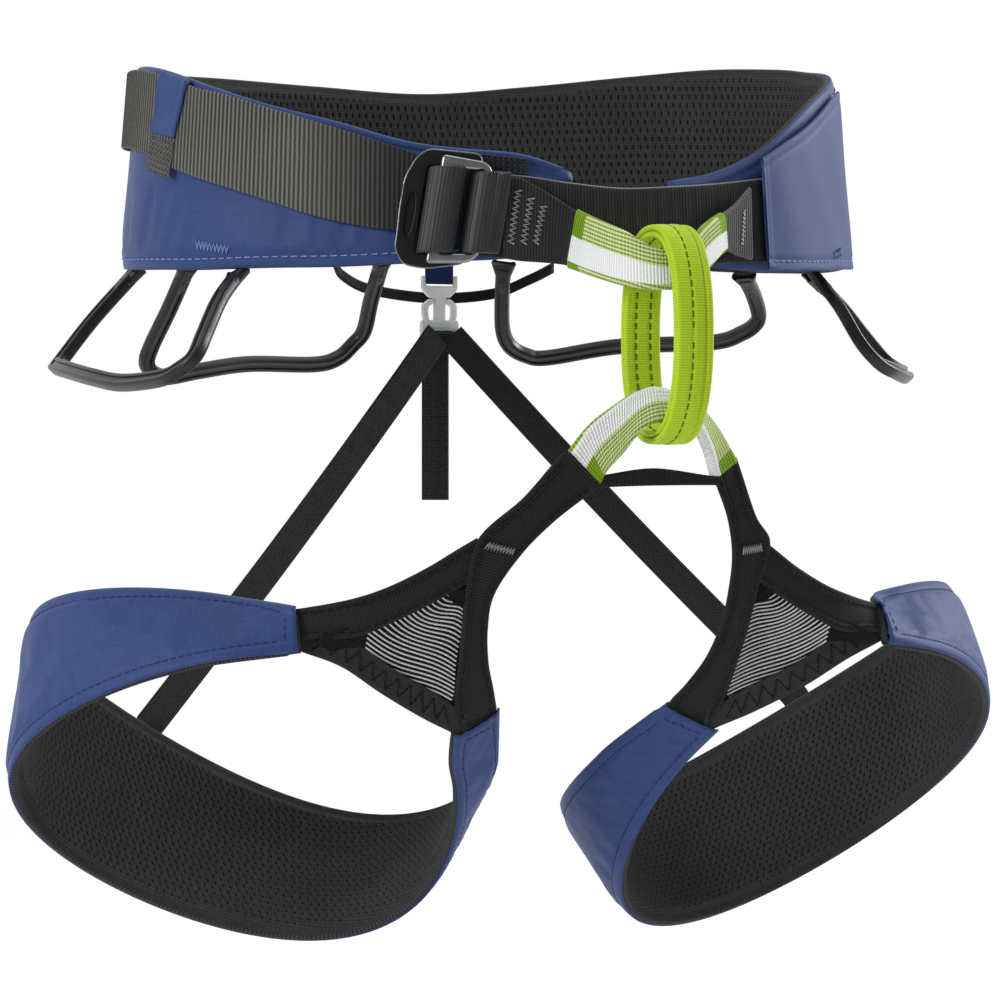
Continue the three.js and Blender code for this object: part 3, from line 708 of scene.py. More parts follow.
def on_waist(angle, z, out):
    """Point at an angle round the waist (0 front, positive to the wearer's left), a height,
    and a distance outside the pad."""
    a = np.radians(angle)
    sin, cos = np.sin(a), np.cos(a)
    normal = np.stack([WAIST_HALF_DEPTH * sin, -WAIST_HALF_WIDTH * cos, 0 * a], -1)
    ring = np.stack([WAIST_X + WAIST_HALF_WIDTH * sin, -WAIST_HALF_DEPTH * cos, z + 0 * a], -1)
    return ring + unit(normal) * np.asarray(out - WAIST_FLARE * z)[..., None]


# Edge of the pad: [angle, top z, bottom z], from the tongue behind the buckle round the back.
WAIST_EDGE = [
    [-4, -9, -34], [-12, -3, -41], [-22, -1, -43], [-30, 2, -44], [-40, 9, -45], [-52, 16, -45],
    [-66, 25, -45], [-78, 32, -44], [-90, 36, -43], [-106, 38, -41], [-124, 40, -38], [-144, 42, -34],
    [-164, 42, -30], [-184, 41, -28], [-202, 45, -29], [-220, 49, -31], [-238, 51, -35],
    [-256, 49, -37], [-268, 46, -38], [-280, 43, -38], [-292, 38, -38], [-302, 33, -40],
    [-312, 25, -42], [-321, 14, -43], [-330, 2, -44], [-340, -7, -43], [-348, -11, -41],
]


def waist_strip(table, out, step=1.0):
    """Strip on the waist through rows of [angle, top z, bottom z, extra distance]."""
    angle, top, bottom, extra = smooth([row + [0] * (4 - len(row)) for row in table]).T
    facing = on_waist(angle[0], 0, 1) - on_waist(angle[0], 0, 0)
    edges = [on_waist(angle, level, out + extra) for level in (bottom, top)]
    return Strip(np.stack(edges, 1), facing, step=step)


def waist_angle(point):
    return np.degrees(np.arctan2((point[..., 0] - WAIST_X) / WAIST_HALF_WIDTH,
                                 -point[..., 1] / WAIST_HALF_DEPTH))


def at_angle(strip, angle):
    """Distance along a waist strip where it reaches an angle; the strip may run either way."""
    off = waist_angle(strip.middle) - angle
    return strip.along[np.argmin(np.abs((off + 180) % 360 - 180))]


# ---- pads
EDGE_THIN = 2.1               # a pad is this much thinner on each face at its edge
HEM = 4.5                     # seam line inside the edge
FACE_CLOTH = 0.9
FACE_STEP_ALONG = 2.4         # size of the face cloth's quads
FACE_STEP_ACROSS = 1.9
RIPPLE = 0.3                  # height of the face cloth's soft unevenness
LINING_CLOTH = 0.8
SLIT_DEPTH = 0.75
RIM_CORNER = 4
RIM_BULGE = 1.2
RIM_THICK = 1.5
# Sizes of the lining's slits: their pitch along and across, in how many quads, how far they
# keep from the edge, and how far each leans over.
WAIST_SLITS = dict(cell=3.3, row=3.6, per_cell=3, per_row=3, border=3)
LEG_SLITS = dict(cell=3.3, row=2.2, per_cell=3, per_row=2, border=4.5, lean=0.5)
# How far the face cloth may settle inwards and outwards.
WAIST_PUFF = (-0.5, 0.55)
LEG_PUFF = (-0.8, 1.1)


def pad_profile(x, half, thick):
    """Distance of the outer cloth from the pad's middle layer."""
    seam = dent(half - np.abs(x) - HEM, 1.3)
    return thick / 2 - 0.4 - EDGE_THIN * np.minimum(np.abs(x) / half, 1) ** 7 - 0.55 * seam


def cloth_face(strip, inset, thick, beyond=0.0):
    """Height of the face cloth's surface along a line inside its edge, or of what it rises to
    within `beyond` mm more."""
    def height(s):
        half = strip.width(s)
        near, far = (pad_profile(half - inset - more, half, thick) for more in (0, beyond))
        return np.maximum(near, far) + FACE_CLOTH / 2 + 0.1
    return height


def outer_cloth(name, strip, thick, body, held, cap):
    """Crowned face cloth; `held` tells which places (mm along, mm across) can't move."""
    s = np.linspace(0, strip.length, int(strip.length / FACE_STEP_ALONG) + 1)[:, None]
    half = strip.width(s)
    x = np.linspace(-1, 1, int(2 * half.max() / FACE_STEP_ACROSS) + 1) * (half + 0.2)
    s = s + 0 * x
    ripple = np.sin(s / 17 + 2.1 * np.sin(s / 41)) * np.sin(x / 13 + 1.3 * np.sin(s / 29))
    soft = np.clip((half - np.abs(x) - HEM) / 12, 0, 1)
    grid = strip.at(s, x, pad_profile(x, half, thick) + RIPPLE * ripple * soft)
    fixed = (half - np.abs(x) < HEM + 0.6) | held(s, x)
    fixed[[0, -1]] = True
    out = unit(strip.read(strip.out, s))
    grid = grid + out * settle(grid, out, fixed, cap)[..., None]
    return slab(name, grid, FACE_CLOTH, BLUE, body, s, x)


def lining(name, strip, thick, body, cell, row, per_cell, per_row, border, lean=0.0):
    """Spacer mesh cloth on the pad's inner face, with its slits in brick order sunk into it."""
    count = int(strip.length / (cell / per_cell))
    s = (np.arange(count + 1) * strip.length / count)[:, None]
    high = row / per_row
    reach = int(np.ceil(strip.half.max() / high))
    j = np.arange(-reach, reach + 1)[None]
    half = strip.width(s) - 0.7
    x = np.clip(j * high, -half, half)
    i = np.arange(count + 1)[:, None] + 0 * j
    line = (j + per_row // 2) // per_row
    shift = np.where(line % 2 == 0, 0, per_cell // 2 + per_cell % 2)
    edge = half - np.abs(j * high)
    slit = ((i + shift) % per_cell == 0) & ((j + per_row // 2) % per_row != per_row - 1) & (edge > border)
    rise = np.clip((edge - border + 2) / 2.5, 0, 1)
    rise = rise * rise * (3 - 2 * rise)
    off = -(thick / 2 - 0.5 - EDGE_THIN * (1 - rise)) + SLIT_DEPTH * slit
    s = s + 0 * x
    grid = strip.at(s + lean * slit, x, off)
    out = unit(strip.read(strip.out, s))
    return weld(slab(name, grid, LINING_CLOTH, LINING, body, s, x, slit.astype(float), out))


def rim(name, strip, body):
    """Knitted edge right round a pad, over its two long edges and its ends."""
    s = np.arange(RIM_CORNER, strip.length - RIM_CORNER, 1.5)
    arc = np.radians(np.linspace(0, 90, 6))
    sin, cos = RIM_CORNER * np.sin(arc), RIM_CORNER * np.cos(arc)
    far = strip.length - RIM_CORNER
    first, last = strip.width(0.0) - RIM_CORNER, strip.width(strip.length) - RIM_CORNER
    sides = [
        (s, strip.width(s)), (far + sin, last + cos),
        (np.full(10, strip.length), np.linspace(last, -last, 12)[1:-1]), (far + cos, -last - sin),
        (s[::-1], -strip.width(s[::-1])), (RIM_CORNER - sin, -first - cos),
        (np.zeros(10), np.linspace(-first, first, 12)[1:-1]), (RIM_CORNER - cos, first + sin),
    ]
    path = np.hstack(sides)
    points = strip.at(*path)
    normal = unit(strip.read(strip.out, path[0]))
    outward = unit(np.cross(np.roll(points, -1, 0) - np.roll(points, 1, 0), normal))
    if outward[0] @ strip.side[0] < 0:
        outward = -outward
    turn = np.radians(np.linspace(-90, 90, 9))
    outer = np.stack([RIM_BULGE * np.cos(turn) - 0.9, RIM_THICK * np.sin(turn)], 1)
    inner = np.stack([(RIM_BULGE - 0.9) * np.cos(turn) - 0.9, (RIM_THICK - 0.8) * np.sin(turn)], 1)
    section = np.vstack([outer, inner[::-1]])
    return dress(sweep(name, points, outward, normal, section, RIM, body, True))


def pad(tag, strip, thick, body, held, puff, slits):
    """Face cloth, lining, padding and knitted edge."""
    cloth = dress(outer_cloth(tag + "face_cloth", strip, thick, body, held, puff),
                  tag + "shell")
    inner = dress(lining(tag + "lining", strip, thick, body, **slits), tag + "liner")
    half = thick / 2 - 1.6

    def crown(u, x):
        return -0.9 * (np.abs(x) / strip.width(u)) ** 6
    core = ribbon(tag + "foam_core", strip, -half, half, FOAM, body, 5, 4, crown, -3)
    dress(core, tag + "foam")
    for part in (cloth, inner):
        declare_cloth(part, strip)
    rim(tag + "edge_knit", strip, body)


def waist_pad():
    strip = waist_strip(WAIST_EDGE, -WAIST_THICK / 2)
    tail_end, roll_end, panel, last = (at_angle(strip, angle) for angle in (-92, -96, 62, 40))

    def held(s, x):
        """Below the belt webbing and the panel the cloth is pressed flat."""
        return ((s < tail_end) & (x > -6)) | (s < 30) | (s > panel)
    pad("waist_", strip, WAIST_THICK, "belt", held, WAIST_PUFF, WAIST_SLITS)
    s = np.arange(4, roll_end, 2.0)
    line = strip.at(s, strip.width(s) - 0.6, 2.0)
    dress(tubes("waist_rolled_edge", [line], 1.7, BLUE_EDGE, "belt", 10))
    hem = edge_stitches(strip, (-1,), 3.6, cloth_face(strip, 3.6, WAIST_THICK, 1.5), span=(24, last))
    sew("waist_hem_stitches", hem, 0.28, BLUE_THREAD, "belt")
    top = edge_stitches(strip, (1,), 3.9, cloth_face(strip, 3.9, WAIST_THICK, 1.0),
                        span=(roll_end, panel))
    sew("waist_top_stitches", top, 0.28, DEEP_THREAD, "belt")
    near = at_angle(strip, -63)
    level = cloth_face(strip, 8, WAIST_THICK)(near) + 0.45
    tack = bartack(strip, near, 8 - strip.width(near), level, 3.2, 15, 9, lengthwise=True)
    sew("waist_hem_bartack", [tack], 0.3, BLUE_THREAD, "belt")


def ribs(height, pitch):
    """Relief of even ribs across a webbing."""
    def relief(u, x):
        return height * ridges(u, pitch)
    return relief


def belt_webbing():
    bridge = waist_strip([
        [-21, -8, -41], [-16, -10, -42], [-11, -11, -43], [-5, -13, -44], [3, -14.5, -44],
        [12, -13, -43], [20, -11, -42], [29, -8, -41], [36, -6, -40],
    ], 1.0)
    made = ribbon("bridge_webbing_ribbed", bridge, 0, WEBBING, DARK, "belt", 0.4, 2, ribs(0.1, 1.6))
    dress(made, "bridge_webbing")
    s = np.arange(1, bridge.length - 1, 1.0)
    edge = bridge.at(s, bridge.width(s) - 0.2, 1.1)
    dress(tubes("bridge_webbing_selvedge", [edge], 0.45, GREY_THREAD, "belt", 6))
    tail = waist_strip([
        [-21.5, -6, -37], [-28, -2, -33], [-34, 3, -31], [-42, 9, -27], [-52, 16, -19.5], [-60, 21.5, -14],
        [-67, 25, -9.5], [-75, 30, -4], [-83, 34, 1.5], [-91, 36, 4.5], [-100, 37, 6],
        [-112, 38, 7], [-124, 39, 8],
    ], 1.0)

    def worn_ribs(u, x):
        """Strong ribs that flatten out on the worn stretch next to the buckle."""
        worn = 0.35 + 0.65 * np.clip((u - 30) / 40, 0, 1)
        return 0.32 * worn * (np.abs(np.cos(np.pi * u / 1.9)) - 0.4)
    made = ribbon("belt_tail_ribbed", tail, 0, WEBBING, TAIL, "belt", 0.38, 2, worn_ribs)
    dress(made, "belt_tail_webbing")
    panel = waist_strip([
        [28, 0, -44, 5.4], [34, 7, -43.5, 4.6], [39, 12, -43, 3.4], [46, 19, -42, 1.6],
        [54, 27, -41, 0.5], [62, 33, -40, 0.4],
    ], 0.0)

    def crease(u, x):
        seam = dent(panel.width(u) - np.abs(x) - 4, 1.1)
        return 0.35 * dent(u - 1.2, 1) - 0.25 * seam + 0.18 * np.sin(x / 9 + u / 11) * np.sin(u / 8)
    made = ribbon("webbing_cover_panel_cloth", panel, 0.1, 1.5, BLUE, "belt", 1, 1, crease)
    dress(made, "webbing_cover_panel")
    lines = edge_stitches(panel, (-1,), 3.4, 1.45, span=(2, panel.length))
    seam = sew("cover_panel_stitches", lines, 0.28, BLUE_THREAD, "belt")
    declare_cloth(made, panel)
    corner = at_angle(panel, 51)
    tack = bartack(panel, corner, 6.5 - panel.width(corner), 1.75, 3, 9, 6, lengthwise=True)
    sew("cover_panel_bartack", [tack], 0.3, BLUE_THREAD, "belt")


def keeper():
    """The loop over the tail: blue cloth above, open net below."""
    def strip_of(table):
        """Strip through rows of two places (angle, z) and their distance outside the pad."""
        edges = [[on_waist(np.array(a), z, out) for a, z in (one, two)] for one, two, out in table]
        return Strip(smooth(edges, fine=10), (-1, -0.3, 0), step=0.5)
    cloth = strip_of([
        [[-78, 33], [-69.5, 28], 0.9], [[-78, 31], [-69.5, 26], 3.6],
        [[-78.5, 21], [-70.5, 17], 3.6], [[-79.5, 9.5], [-72, 6], 3.6],
    ])

    def fold(u, x):
        return 0.25 * dent(cloth.width(u) - np.abs(x) - 1.1, 0.8) + 0.16 * np.sin(u / 3.1 + x / 4)
    made = ribbon("keeper_loop_cloth", cloth, -0.55, 0.75, BLUE, "belt", 0.8, 0.8, fold)
    declare_cloth(dress(made, "keeper_loop"), cloth)
    patch = strip_of([
        [[-79.8, 8.1], [-72.4, 4.7], 3.5], [[-80, 3], [-72.6, -1.5], 3.5],
        [[-80.2, -4.2], [-73, -8], 3.5], [[-80.2, -6], [-73, -9.6], 0.9],
    ])
    made = net("keeper_net", patch, 2.1, 0.36, GREY_NET, "belt")
    declare_cloth(dress(made, "keeper_mesh"), patch)


# ---- buckle
BUCKLE_ANGLE = -23.7
BUCKLE_Z = -24
BUCKLE_LEAN = math.tan(math.radians(9))
PLATE_OUT = 4.2
PLATE_THICKNESS = 1.8
FRAME_OUT = 6.4
FRAME_BAR = 2.6


def buckle_matrix():
    """Axes of the buckle: right along the belt, up, and out from it."""
    a = math.radians(BUCKLE_ANGLE)
    right = unit(np.array([WAIST_HALF_WIDTH * math.cos(a), WAIST_HALF_DEPTH * math.sin(a), 0]))
    matrix = np.eye(4)
    matrix[:3, :3] = np.stack([right, (0, 0, 1), (right[1], -right[0], 0)], 1)
    matrix[:3, 3] = on_waist(np.float64(BUCKLE_ANGLE), BUCKLE_Z, 0)
    return matrix


BUCKLE = buckle_matrix()


def leaning(points):
    points = np.asarray(points, float)
    return np.stack([points[:, 0] + points[:, 1] * BUCKLE_LEAN, points[:, 1]], 1)


def on_buckle(x, y, height):
    local = np.stack(np.broadcast_arrays(x + y * BUCKLE_LEAN, y, height), -1)
    return local @ BUCKLE[:3, :3].T + BUCKLE[:3, 3]


def buckle_roll(name, arch, low, high, body, node=None):
    """Webbing over a bar: an arch of (x, height above the frame), from y low to y high."""
    arch = smooth(arch, fine=8)
    edges = [on_buckle(arch[:, 0], y, arch[:, 1] + FRAME_OUT) for y in (low, high)]
    strip = Strip(np.stack(edges, 1), (-1, -0.5, 0), step=0.5)
    half = WEBBING / 2
    dress(ribbon(name, strip, -half, half, ROLLED, body, 0.3, 3, ribs(0.1, 1.25)), node)


def buckle():
    edge = rounded(leaning([
        [-16.5, 12], [-13, 20], [-9, 23], [12, 21], [12, -20.5], [-3, -22.5], [-12, -21],
        [-16, -15], [-16, -10], [-16.5, 0],
    ]), 3.5, 6)
    window = rounded(leaning([[-8.5, 16.5], [8.5, 16.5], [8.5, -16.5], [-8.5, -16.5]]), 1.5)
    t = np.linspace(0, 2 * np.pi, 28, endpoint=False)
    recess = leaning(np.stack([-12.4 + 1.7 * np.cos(t), -2 + 8.5 * np.sin(t)], 1))
    plate = bevelled("buckle_plate_black", [edge, window, recess], PLATE_OUT, PLATE_THICKNESS, BUCKLE,
                     BLACK_METAL, "belt", 0.45)
    dress(plate, "buckle_plate")
    floor = rounded(leaning([[-15.2, 8], [-9.6, 8], [-9.6, -12], [-15.2, -12]]), 2)
    dress(bevelled("buckle_finger_recess", [floor], PLATE_OUT - 0.1, 0.9, BUCKLE, BLACK_METAL, "belt",
                   0.2))
    ring = 0.993 * np.vstack([edge, edge[:1]])
    worn = np.column_stack([ring, np.full(len(ring), PLATE_OUT + PLATE_THICKNESS - 0.28)])
    line = worn @ BUCKLE[:3, :3].T + BUCKLE[:3, 3]
    dress(tubes("buckle_plate_bare_edge", [line], 0.38, WORN_EDGE, "belt", 6))
    frame_edge = rounded(leaning([
        [-3.6, 19.6], [-2.6, 20.6], [13, 18], [16.4, 15], [16.4, -17], [13, -20.4], [-2.6, -20.6],
        [-3.6, -19.6],
    ]), 2.4, 6)
    frame_window = rounded(leaning([[1.4, 15.6], [13.4, 14.4], [13.4, -16.8], [1.4, -16.8]]), 1.2)
    bars = bevelled("buckle_frame_satin", [frame_edge, frame_window], FRAME_OUT, FRAME_BAR, BUCKLE,
                    SILVER, "buckle_bar_frame", 1.1)
    dress(bars, "buckle_frame")
    buckle_roll("buckle_roll_webbing", [
        [-6.6, -1.3], [-6.2, 2.1], [-3.6, 4.2], [-0.2, 4.7], [2.8, 4.2], [5.4, 2.1], [5.8, -1.3],
    ], -16.6, 16.2, "buckle_bar_frame", "buckle_webbing_roll")
    buckle_roll("buckle_right_wrap", [
        [10.6, -1.4], [11, 1.6], [12.6, 3.6], [15, 4.1], [18, 3.3], [20.5, 1.6], [23.5, 0.4],
    ], -16.8, 14.2, "belt")
    backing = waist_strip([[-20, -2.4, -7.4], [-15.5, -3.4, -9], [-11, -4.4, -10.2]], 1.0, 0.5)
    patch = net("buckle_backing_net", backing, 2.2, 0.42, BLACK_NET, "belt", 0.5, 0.3)
    dress(patch, "buckle_backing")


# ---- tie-in points and belay loop

# Rows: [lower edge, upper edge].
UPPER_TIE_IN = [
    [[-40, -115.4, -42.5], [-39.6, -112.9, -11.5]],
    [[-33, -116.8, -43.5], [-32, -114.4, -12]],
    [[-24, -118, -44], [-22.5, -116.6, -17]],
    [[-15, -119.4, -45], [-11, -119, -24]],
    [[-9.5, -132, -49], [-7, -132, -29]],
    [[-3, -147, -53], [-2.5, -146, -34]],
    [[7, -154, -54.5], [7, -152.5, -40.4]],
    [[20, -151, -53], [20, -149.5, -40]],
    [[35, -137, -45], [33.5, -136.5, -30.5]],
    [[49, -121.4, -38], [48, -121.4, -24]],
    [[58, -114, -39], [58, -113.4, -19]],
    [[67, -108.6, -40.5], [67, -107, -12]],
]
LOWER_TIE_IN = [
    [[-12, -141.4, -128], [-25, -143, -117]],
    [[-10, -144.5, -122.5], [-16, -144, -106]],
    [[-4, -148, -115], [-3, -145, -96.5]],
    [[3, -150, -106.5], [4, -145.4, -93.4]],
    [[11, -151, -103.6], [11, -145.4, -92.4]],
    [[22.5, -149.6, -104.4], [24.5, -143.6, -96.8]],
    [[30, -146, -113.4], [36, -140.4, -106]],
    [[36.5, -139.4, -126], [47, -137, -119.5]],
]
COVER_RIB = 1.15


def cover(name, strip, span, finish, node):
    half = TIE_IN_WEBBING / 2 + SLEEVE

    def weave(u, x):
        hems = dent(u - span[0] - 1, 0.8) + dent(span[1] - u - 1, 0.8)
        return 0.1 * ridges(u, COVER_RIB) + 0.06 * ridges(x, 1.5) + 0.18 * hems
    made = ribbon(name, strip, -half, half, finish, "belt", 0.29, 0.5, weave, 0.9, span)
    dress(made, node)


def knot_at(strip, table, k):
    """Distance along a strip where row k of its table lies."""
    middle = np.asarray(table, float)[k].mean(0)
    return strip.along[np.argmin(np.linalg.norm(strip.middle - middle, axis=1))]


def tie_in_points():
    core = TIE_IN_WEBBING / 2
    upper = Strip(smooth(UPPER_TIE_IN), FORWARD)
    first, turn, last, end = (knot_at(upper, UPPER_TIE_IN, k) for k in (3, 8, 9, 10))
    dark = ribbon("upper_tie_in_webbing_dark", upper, -core, core, DARK, "belt", 0.4, 2,
                  ribs(0.07, 1.25), span=(0, turn))
    dress(dark, "tie_in_webbing_upper")
    grey = ribbon("upper_tie_in_webbing_grey_end", upper, -core, core, GREY_WEBBING, "belt", 0.4, 2,
                  ribs(0.14, 1.6), span=(turn + 0.5, upper.length))
    dress(grey)
    cover("upper_tie_in_sleeve_woven", upper, (first, last), UPPER_COVER, "tie_in_cover_upper")
    top = core + 0.25
    tacks = [bartack(upper, along, shift, top, 2.6, length, turns, 3.0)
             for along, shift, length, turns in ((4.5, 0.5, 21, 10), (9.5, 0, 18.5, 9), (14.5, 0, 15.5, 8))]
    sew("buckle_webbing_bartacks", tacks, 0.34, GREY_THREAD, "belt")
    tack = bartack(upper, end + 3.5, 0, top, 1.8, 13, 8, 2.0)
    sew("tie_in_end_bartack", [tack], 0.34, WHITE_THREAD, "belt")
    lower = Strip(smooth(LOWER_TIE_IN), FORWARD)
    made = ribbon("lower_tie_in_webbing_core", lower, -core, core, DARK, "belt", 0.5, 2, ribs(0.07, 1.25))
    dress(made, "tie_in_webbing_lower")
    cover("lower_tie_in_sleeve_woven", lower, (0.8, lower.length - 0.8), LOWER_COVER,
          "tie_in_cover_lower")


BELAY_X = 16
BELAY_Y = -142
BELAY_TOP = -30
BELAY_BOTTOM = -113
BELAY_WIDTH = 15
BELAY_THICKNESS = 5
BELAY_HALF_DEPTH = 27


def belay_loop():
    """Two layers of webbing sewn into one ring."""
    a = np.linspace(0, 2 * np.pi, 160, endpoint=False)
    sin, cos = (np.sign(part) * np.abs(part) ** 0.85 for part in (np.sin(a), np.cos(a)))
    half_height = (BELAY_TOP - BELAY_BOTTOM - BELAY_THICKNESS) / 2
    half_depth = BELAY_HALF_DEPTH - BELAY_THICKNESS / 2
    ring = np.stack([BELAY_X + 0 * a, BELAY_Y - half_depth * cos,
                     (BELAY_TOP + BELAY_BOTTOM) / 2 + half_height * sin], 1)
    side = np.array([BELAY_WIDTH / 2, 0, 0])
    strip = Strip(np.stack([ring - side, ring + side], 1), FORWARD, closed=True, step=0.5)

    def outer(u, x):
        crown = 0.35 * (1 - (x / 7.5) ** 2)
        cords = 0.09 * ridges(u, 1) * np.clip((x + 0.5) / 1.5, 0, 1)
        return crown - 0.4 * dent(x + 1.2, 0.7) - 0.7 * dent(x - 4.3, 0.6) + cords

    def inner(u, x):
        return 0.06 * ridges(u, 1) - 0.35 * (dent(x - 3, 0.7) + dent(x + 3, 0.7))
    made = ribbon("belay_loop_outer_layer", strip, 0.12, 2.3, LIME, "belay_loop", 0.34, 0.5, outer)
    dress(made, "belay_loop")
    made = ribbon("belay_loop_inner_layer", strip, -2.5, -0.12, LIME, "belay_loop", 0.34, 0.5, inner)
    dress(made)
    s = np.arange(0, strip.length, 0.5)
    lines = []
    for across, off in ((-1.2, 2.3), (-3, -2.4), (3, -2.4)):
        lines += stitch_lines(strip.at(s, across, off), 2.4, 1.5)
    sew("belay_loop_stitches", lines, 0.28, LIME_THREAD, "belay_loop")


# ---- leg loops
LEG_LOWER = dict(centre=[118, -56, -249], out=[82, 3, 26], back=[14, 59, -51], skew=[-3, -2, -4],
                 pinch=[-2, -4, 3])
LEG_UPPER = dict(centre=[103, -37, -213], out=[85, -2, 40], back=[18, 61, -24], skew=[3, 4, -1],
                 pinch=[-4, -7, 2])
LEG_ANGLES = range(29, 309, 9)     # stations round the thigh; 0 front, 90 outer side, 180 back
OUTER_END = [[122, -116, -191], [121, -109, -174.5]]
INNER_END = [[56, -102, -223], [36, -97, -213]]
ELASTIC_ANGLE = {"right": 168, "left": 157}
RISER_TOP = {
    "left": [
        [[38, -140, -128.5], [48.5, -137.6, -122.6]],
        [[44, -137, -141], [55.5, -136.4, -140]],
        [[48, -132.6, -155], [63, -133.5, -150.5]],
    ],
    "right": [
        [[16.5, -141.5, -131.5], [30.5, -143.5, -119.5]],
        [[30, -139, -142], [43, -142, -133.5]],
        [[41, -134.5, -154], [58, -135, -148.5]],
    ],
}
RISER = [
    [[49, -127, -169], [60.5, -128.5, -167]],
    [[49, -120, -182], [59.5, -121.5, -183]],
    [[46, -113, -195], [58, -114.5, -197]],
    [[41, -105.5, -205.5], [57, -107.5, -208.5]],
    [[37.6, -99.5, -211.6], [54, -103.6, -217.8]],
]
OUTER_BRANCH = [
    [[61.5, -129, -165.5], [65, -132.6, -152.5]],
    [[73, -126.6, -172], [77, -129, -160]],
    [[86, -123.5, -178.5], [91, -125, -167]],
    [[101, -119.6, -184.6], [104, -120.6, -171.4]],
    [[117.5, -115, -185.4], [118.6, -111, -174.6]],
]
ELASTIC_BAND = [
    [[56.4, -103.4, -221.6], [57.4, -106.6, -212.5]],
    [[70, -108, -215.5], [68, -110, -206.5]],
    [[88, -113.6, -206], [84, -115, -198.5]],
    [[105, -116.6, -195.6], [101, -116, -187.5]],
    [[118.6, -113.2, -190.2], [114, -112.6, -182]],
]
WINDOW = [
    [[62.2, -128.8, -168.2], [62.4, -128.9, -167.6]],
    [[61.6, -122, -182], [77, -125, -175]],
    [[61, -115.2, -194], [88, -121.6, -180.6]],
    [[60, -109, -207.5], [107, -118.6, -186.6]],
]


def longer(rows, before, after):
    """Rows of a strap, carried on straight at its two ends by mm."""
    rows = np.array(rows, float)
    lead = unit((rows[0] - rows[1]).mean(0)) * before
    trail = unit((rows[-1] - rows[-2]).mean(0)) * after
    return np.concatenate([rows[:1] + lead, rows, rows[-1:] + trail])


def leg_edge(curve, degrees):
    t = math.radians(degrees)
    terms = (1, math.sin(t), -math.cos(t), math.sin(2 * t), math.cos(2 * t))
    return sum(k * np.array(v, float) for k, v in zip(terms, curve.values()))


def mirrored(rows, side, middle):
    """Rows as given for the left leg, or mirrored for the right one."""
    rows = np.array(rows, float)
    if side == "right":
        rows[..., 0] = 2 * middle - rows[..., 0]
    return rows


def leg_pad(side, body):
    pairs = [[leg_edge(LEG_LOWER, angle), leg_edge(LEG_UPPER, angle)] for angle in LEG_ANGLES]
    ends = [mirrored([end], side, YOKE_MIDLINE) for end in (OUTER_END, INNER_END)]
    stations = np.concatenate([ends[0], mirrored(pairs, side, LEG_MIDLINE), ends[1]])
    strip = Strip(smooth(stations), (0.6 if side == "left" else -0.6, -0.8, 0))
    tag = body + "_"

    def held(s, x):
        return (s < 8) | (s > strip.length - 8)
    pad(tag, strip, LEG_THICK, body, held, LEG_PUFF, LEG_SLITS)
    seams = edge_stitches(strip, (1, -1), 4.2, cloth_face(strip, 4.2, LEG_THICK), 2.0, 1.2,
                          (6, strip.length - 6))
    sew(tag + "edge_stitches", seams, 0.22, DEEP_THREAD, body)
    lines = []
    for along in (4.5, strip.length - 4.5):
        reach = strip.width(along) - 4
        path = strip.at(along, np.linspace(-reach, reach, 40), LEG_THICK / 2 + 0.15)
        lines += stitch_lines(path, 2.0, 1.2)
    sew(tag + "end_stitches", lines, 0.22, DEEP_THREAD, body)


def yoke_strap(what, rows, side, body, ends, back=0.0):
    """Black webbing with raised, stitched edges. ends is how far it reaches under its
    neighbours, and back how far it lies behind the yoke's face."""
    rows = longer(mirrored(rows, side, YOKE_MIDLINE), *ends)
    strip = Strip(smooth(rows) + np.array(BACKWARD) * back, FORWARD)
    half = THIN_WEBBING / 2

    def relief(u, x):
        edge = strip.width(u) - np.abs(x)
        return 0.22 * np.clip((2.9 - edge) / 0.6, 0, 1) - 0.3 * dent(edge - 3, 0.5) + 0.07 * ridges(u, 1.1)
    node = f"{body}_{what}"
    made = ribbon(node + "_webbing", strip, -half, half, YOKE, body, 0.37, 0.8, relief, 0.4)
    dress(made, node)
    return strip


def leg_yoke(side, body):
    half = THIN_WEBBING / 2
    riser = yoke_strap("riser", RISER_TOP[side] + RISER, side, body, (5, 5))
    branch = yoke_strap("outer_branch", OUTER_BRANCH, side, body, (8, 8), 0.7)
    for what, strip in (("riser", riser), ("outer_branch", branch)):
        sew(f"{body}_{what}_stitches", edge_stitches(strip, (1, -1), 1.9, half + 0.3, 2.2, 1.1), 0.26,
            BLACK_THREAD, body)
    low = riser.along[np.argmin(np.abs(riser.middle[:, 2] + 152))]
    tack = bartack(riser, low, 0, half + 0.5, 3.2, 11 if side == "right" else 8, 9, 1.0)
    sew(body + "_riser_bartack", [tack], 0.33, GREY_THREAD, body)
    rows = smooth(longer(mirrored(ELASTIC_BAND, side, YOKE_MIDLINE), 8, 5))
    band = Strip(rows + np.array(BACKWARD) * 1.3, FORWARD)

    def knit(u, x):
        return 0.1 * ridges(u, 1.8) * ridges(x, 1.8)
    made = ribbon(body + "_elastic_band_knit", band, -0.7, 0.7, BAND, body, 0.45, 0.6, knit, 0.9)
    dress(made, body + "_elastic_band")
    s = np.arange(10, band.length - 6, 0.4)
    swing = np.abs((s / 6.5) % 1 - 0.5) * 4 - 1
    zigzag = stitch_lines(band.at(s, swing * (band.width(s) - 1.0), 0.95), 1.7, 0.5)
    sew(body + "_elastic_band_zigzag", zigzag, 0.26, BLACK_THREAD, body)
    striped_window(side, body)


STRIPE_PITCH = 1.75
STRIPE_REACH = 43             # longest stripe
WINDOW_TUCK = 6               # the cloth reaches under the straps by this much


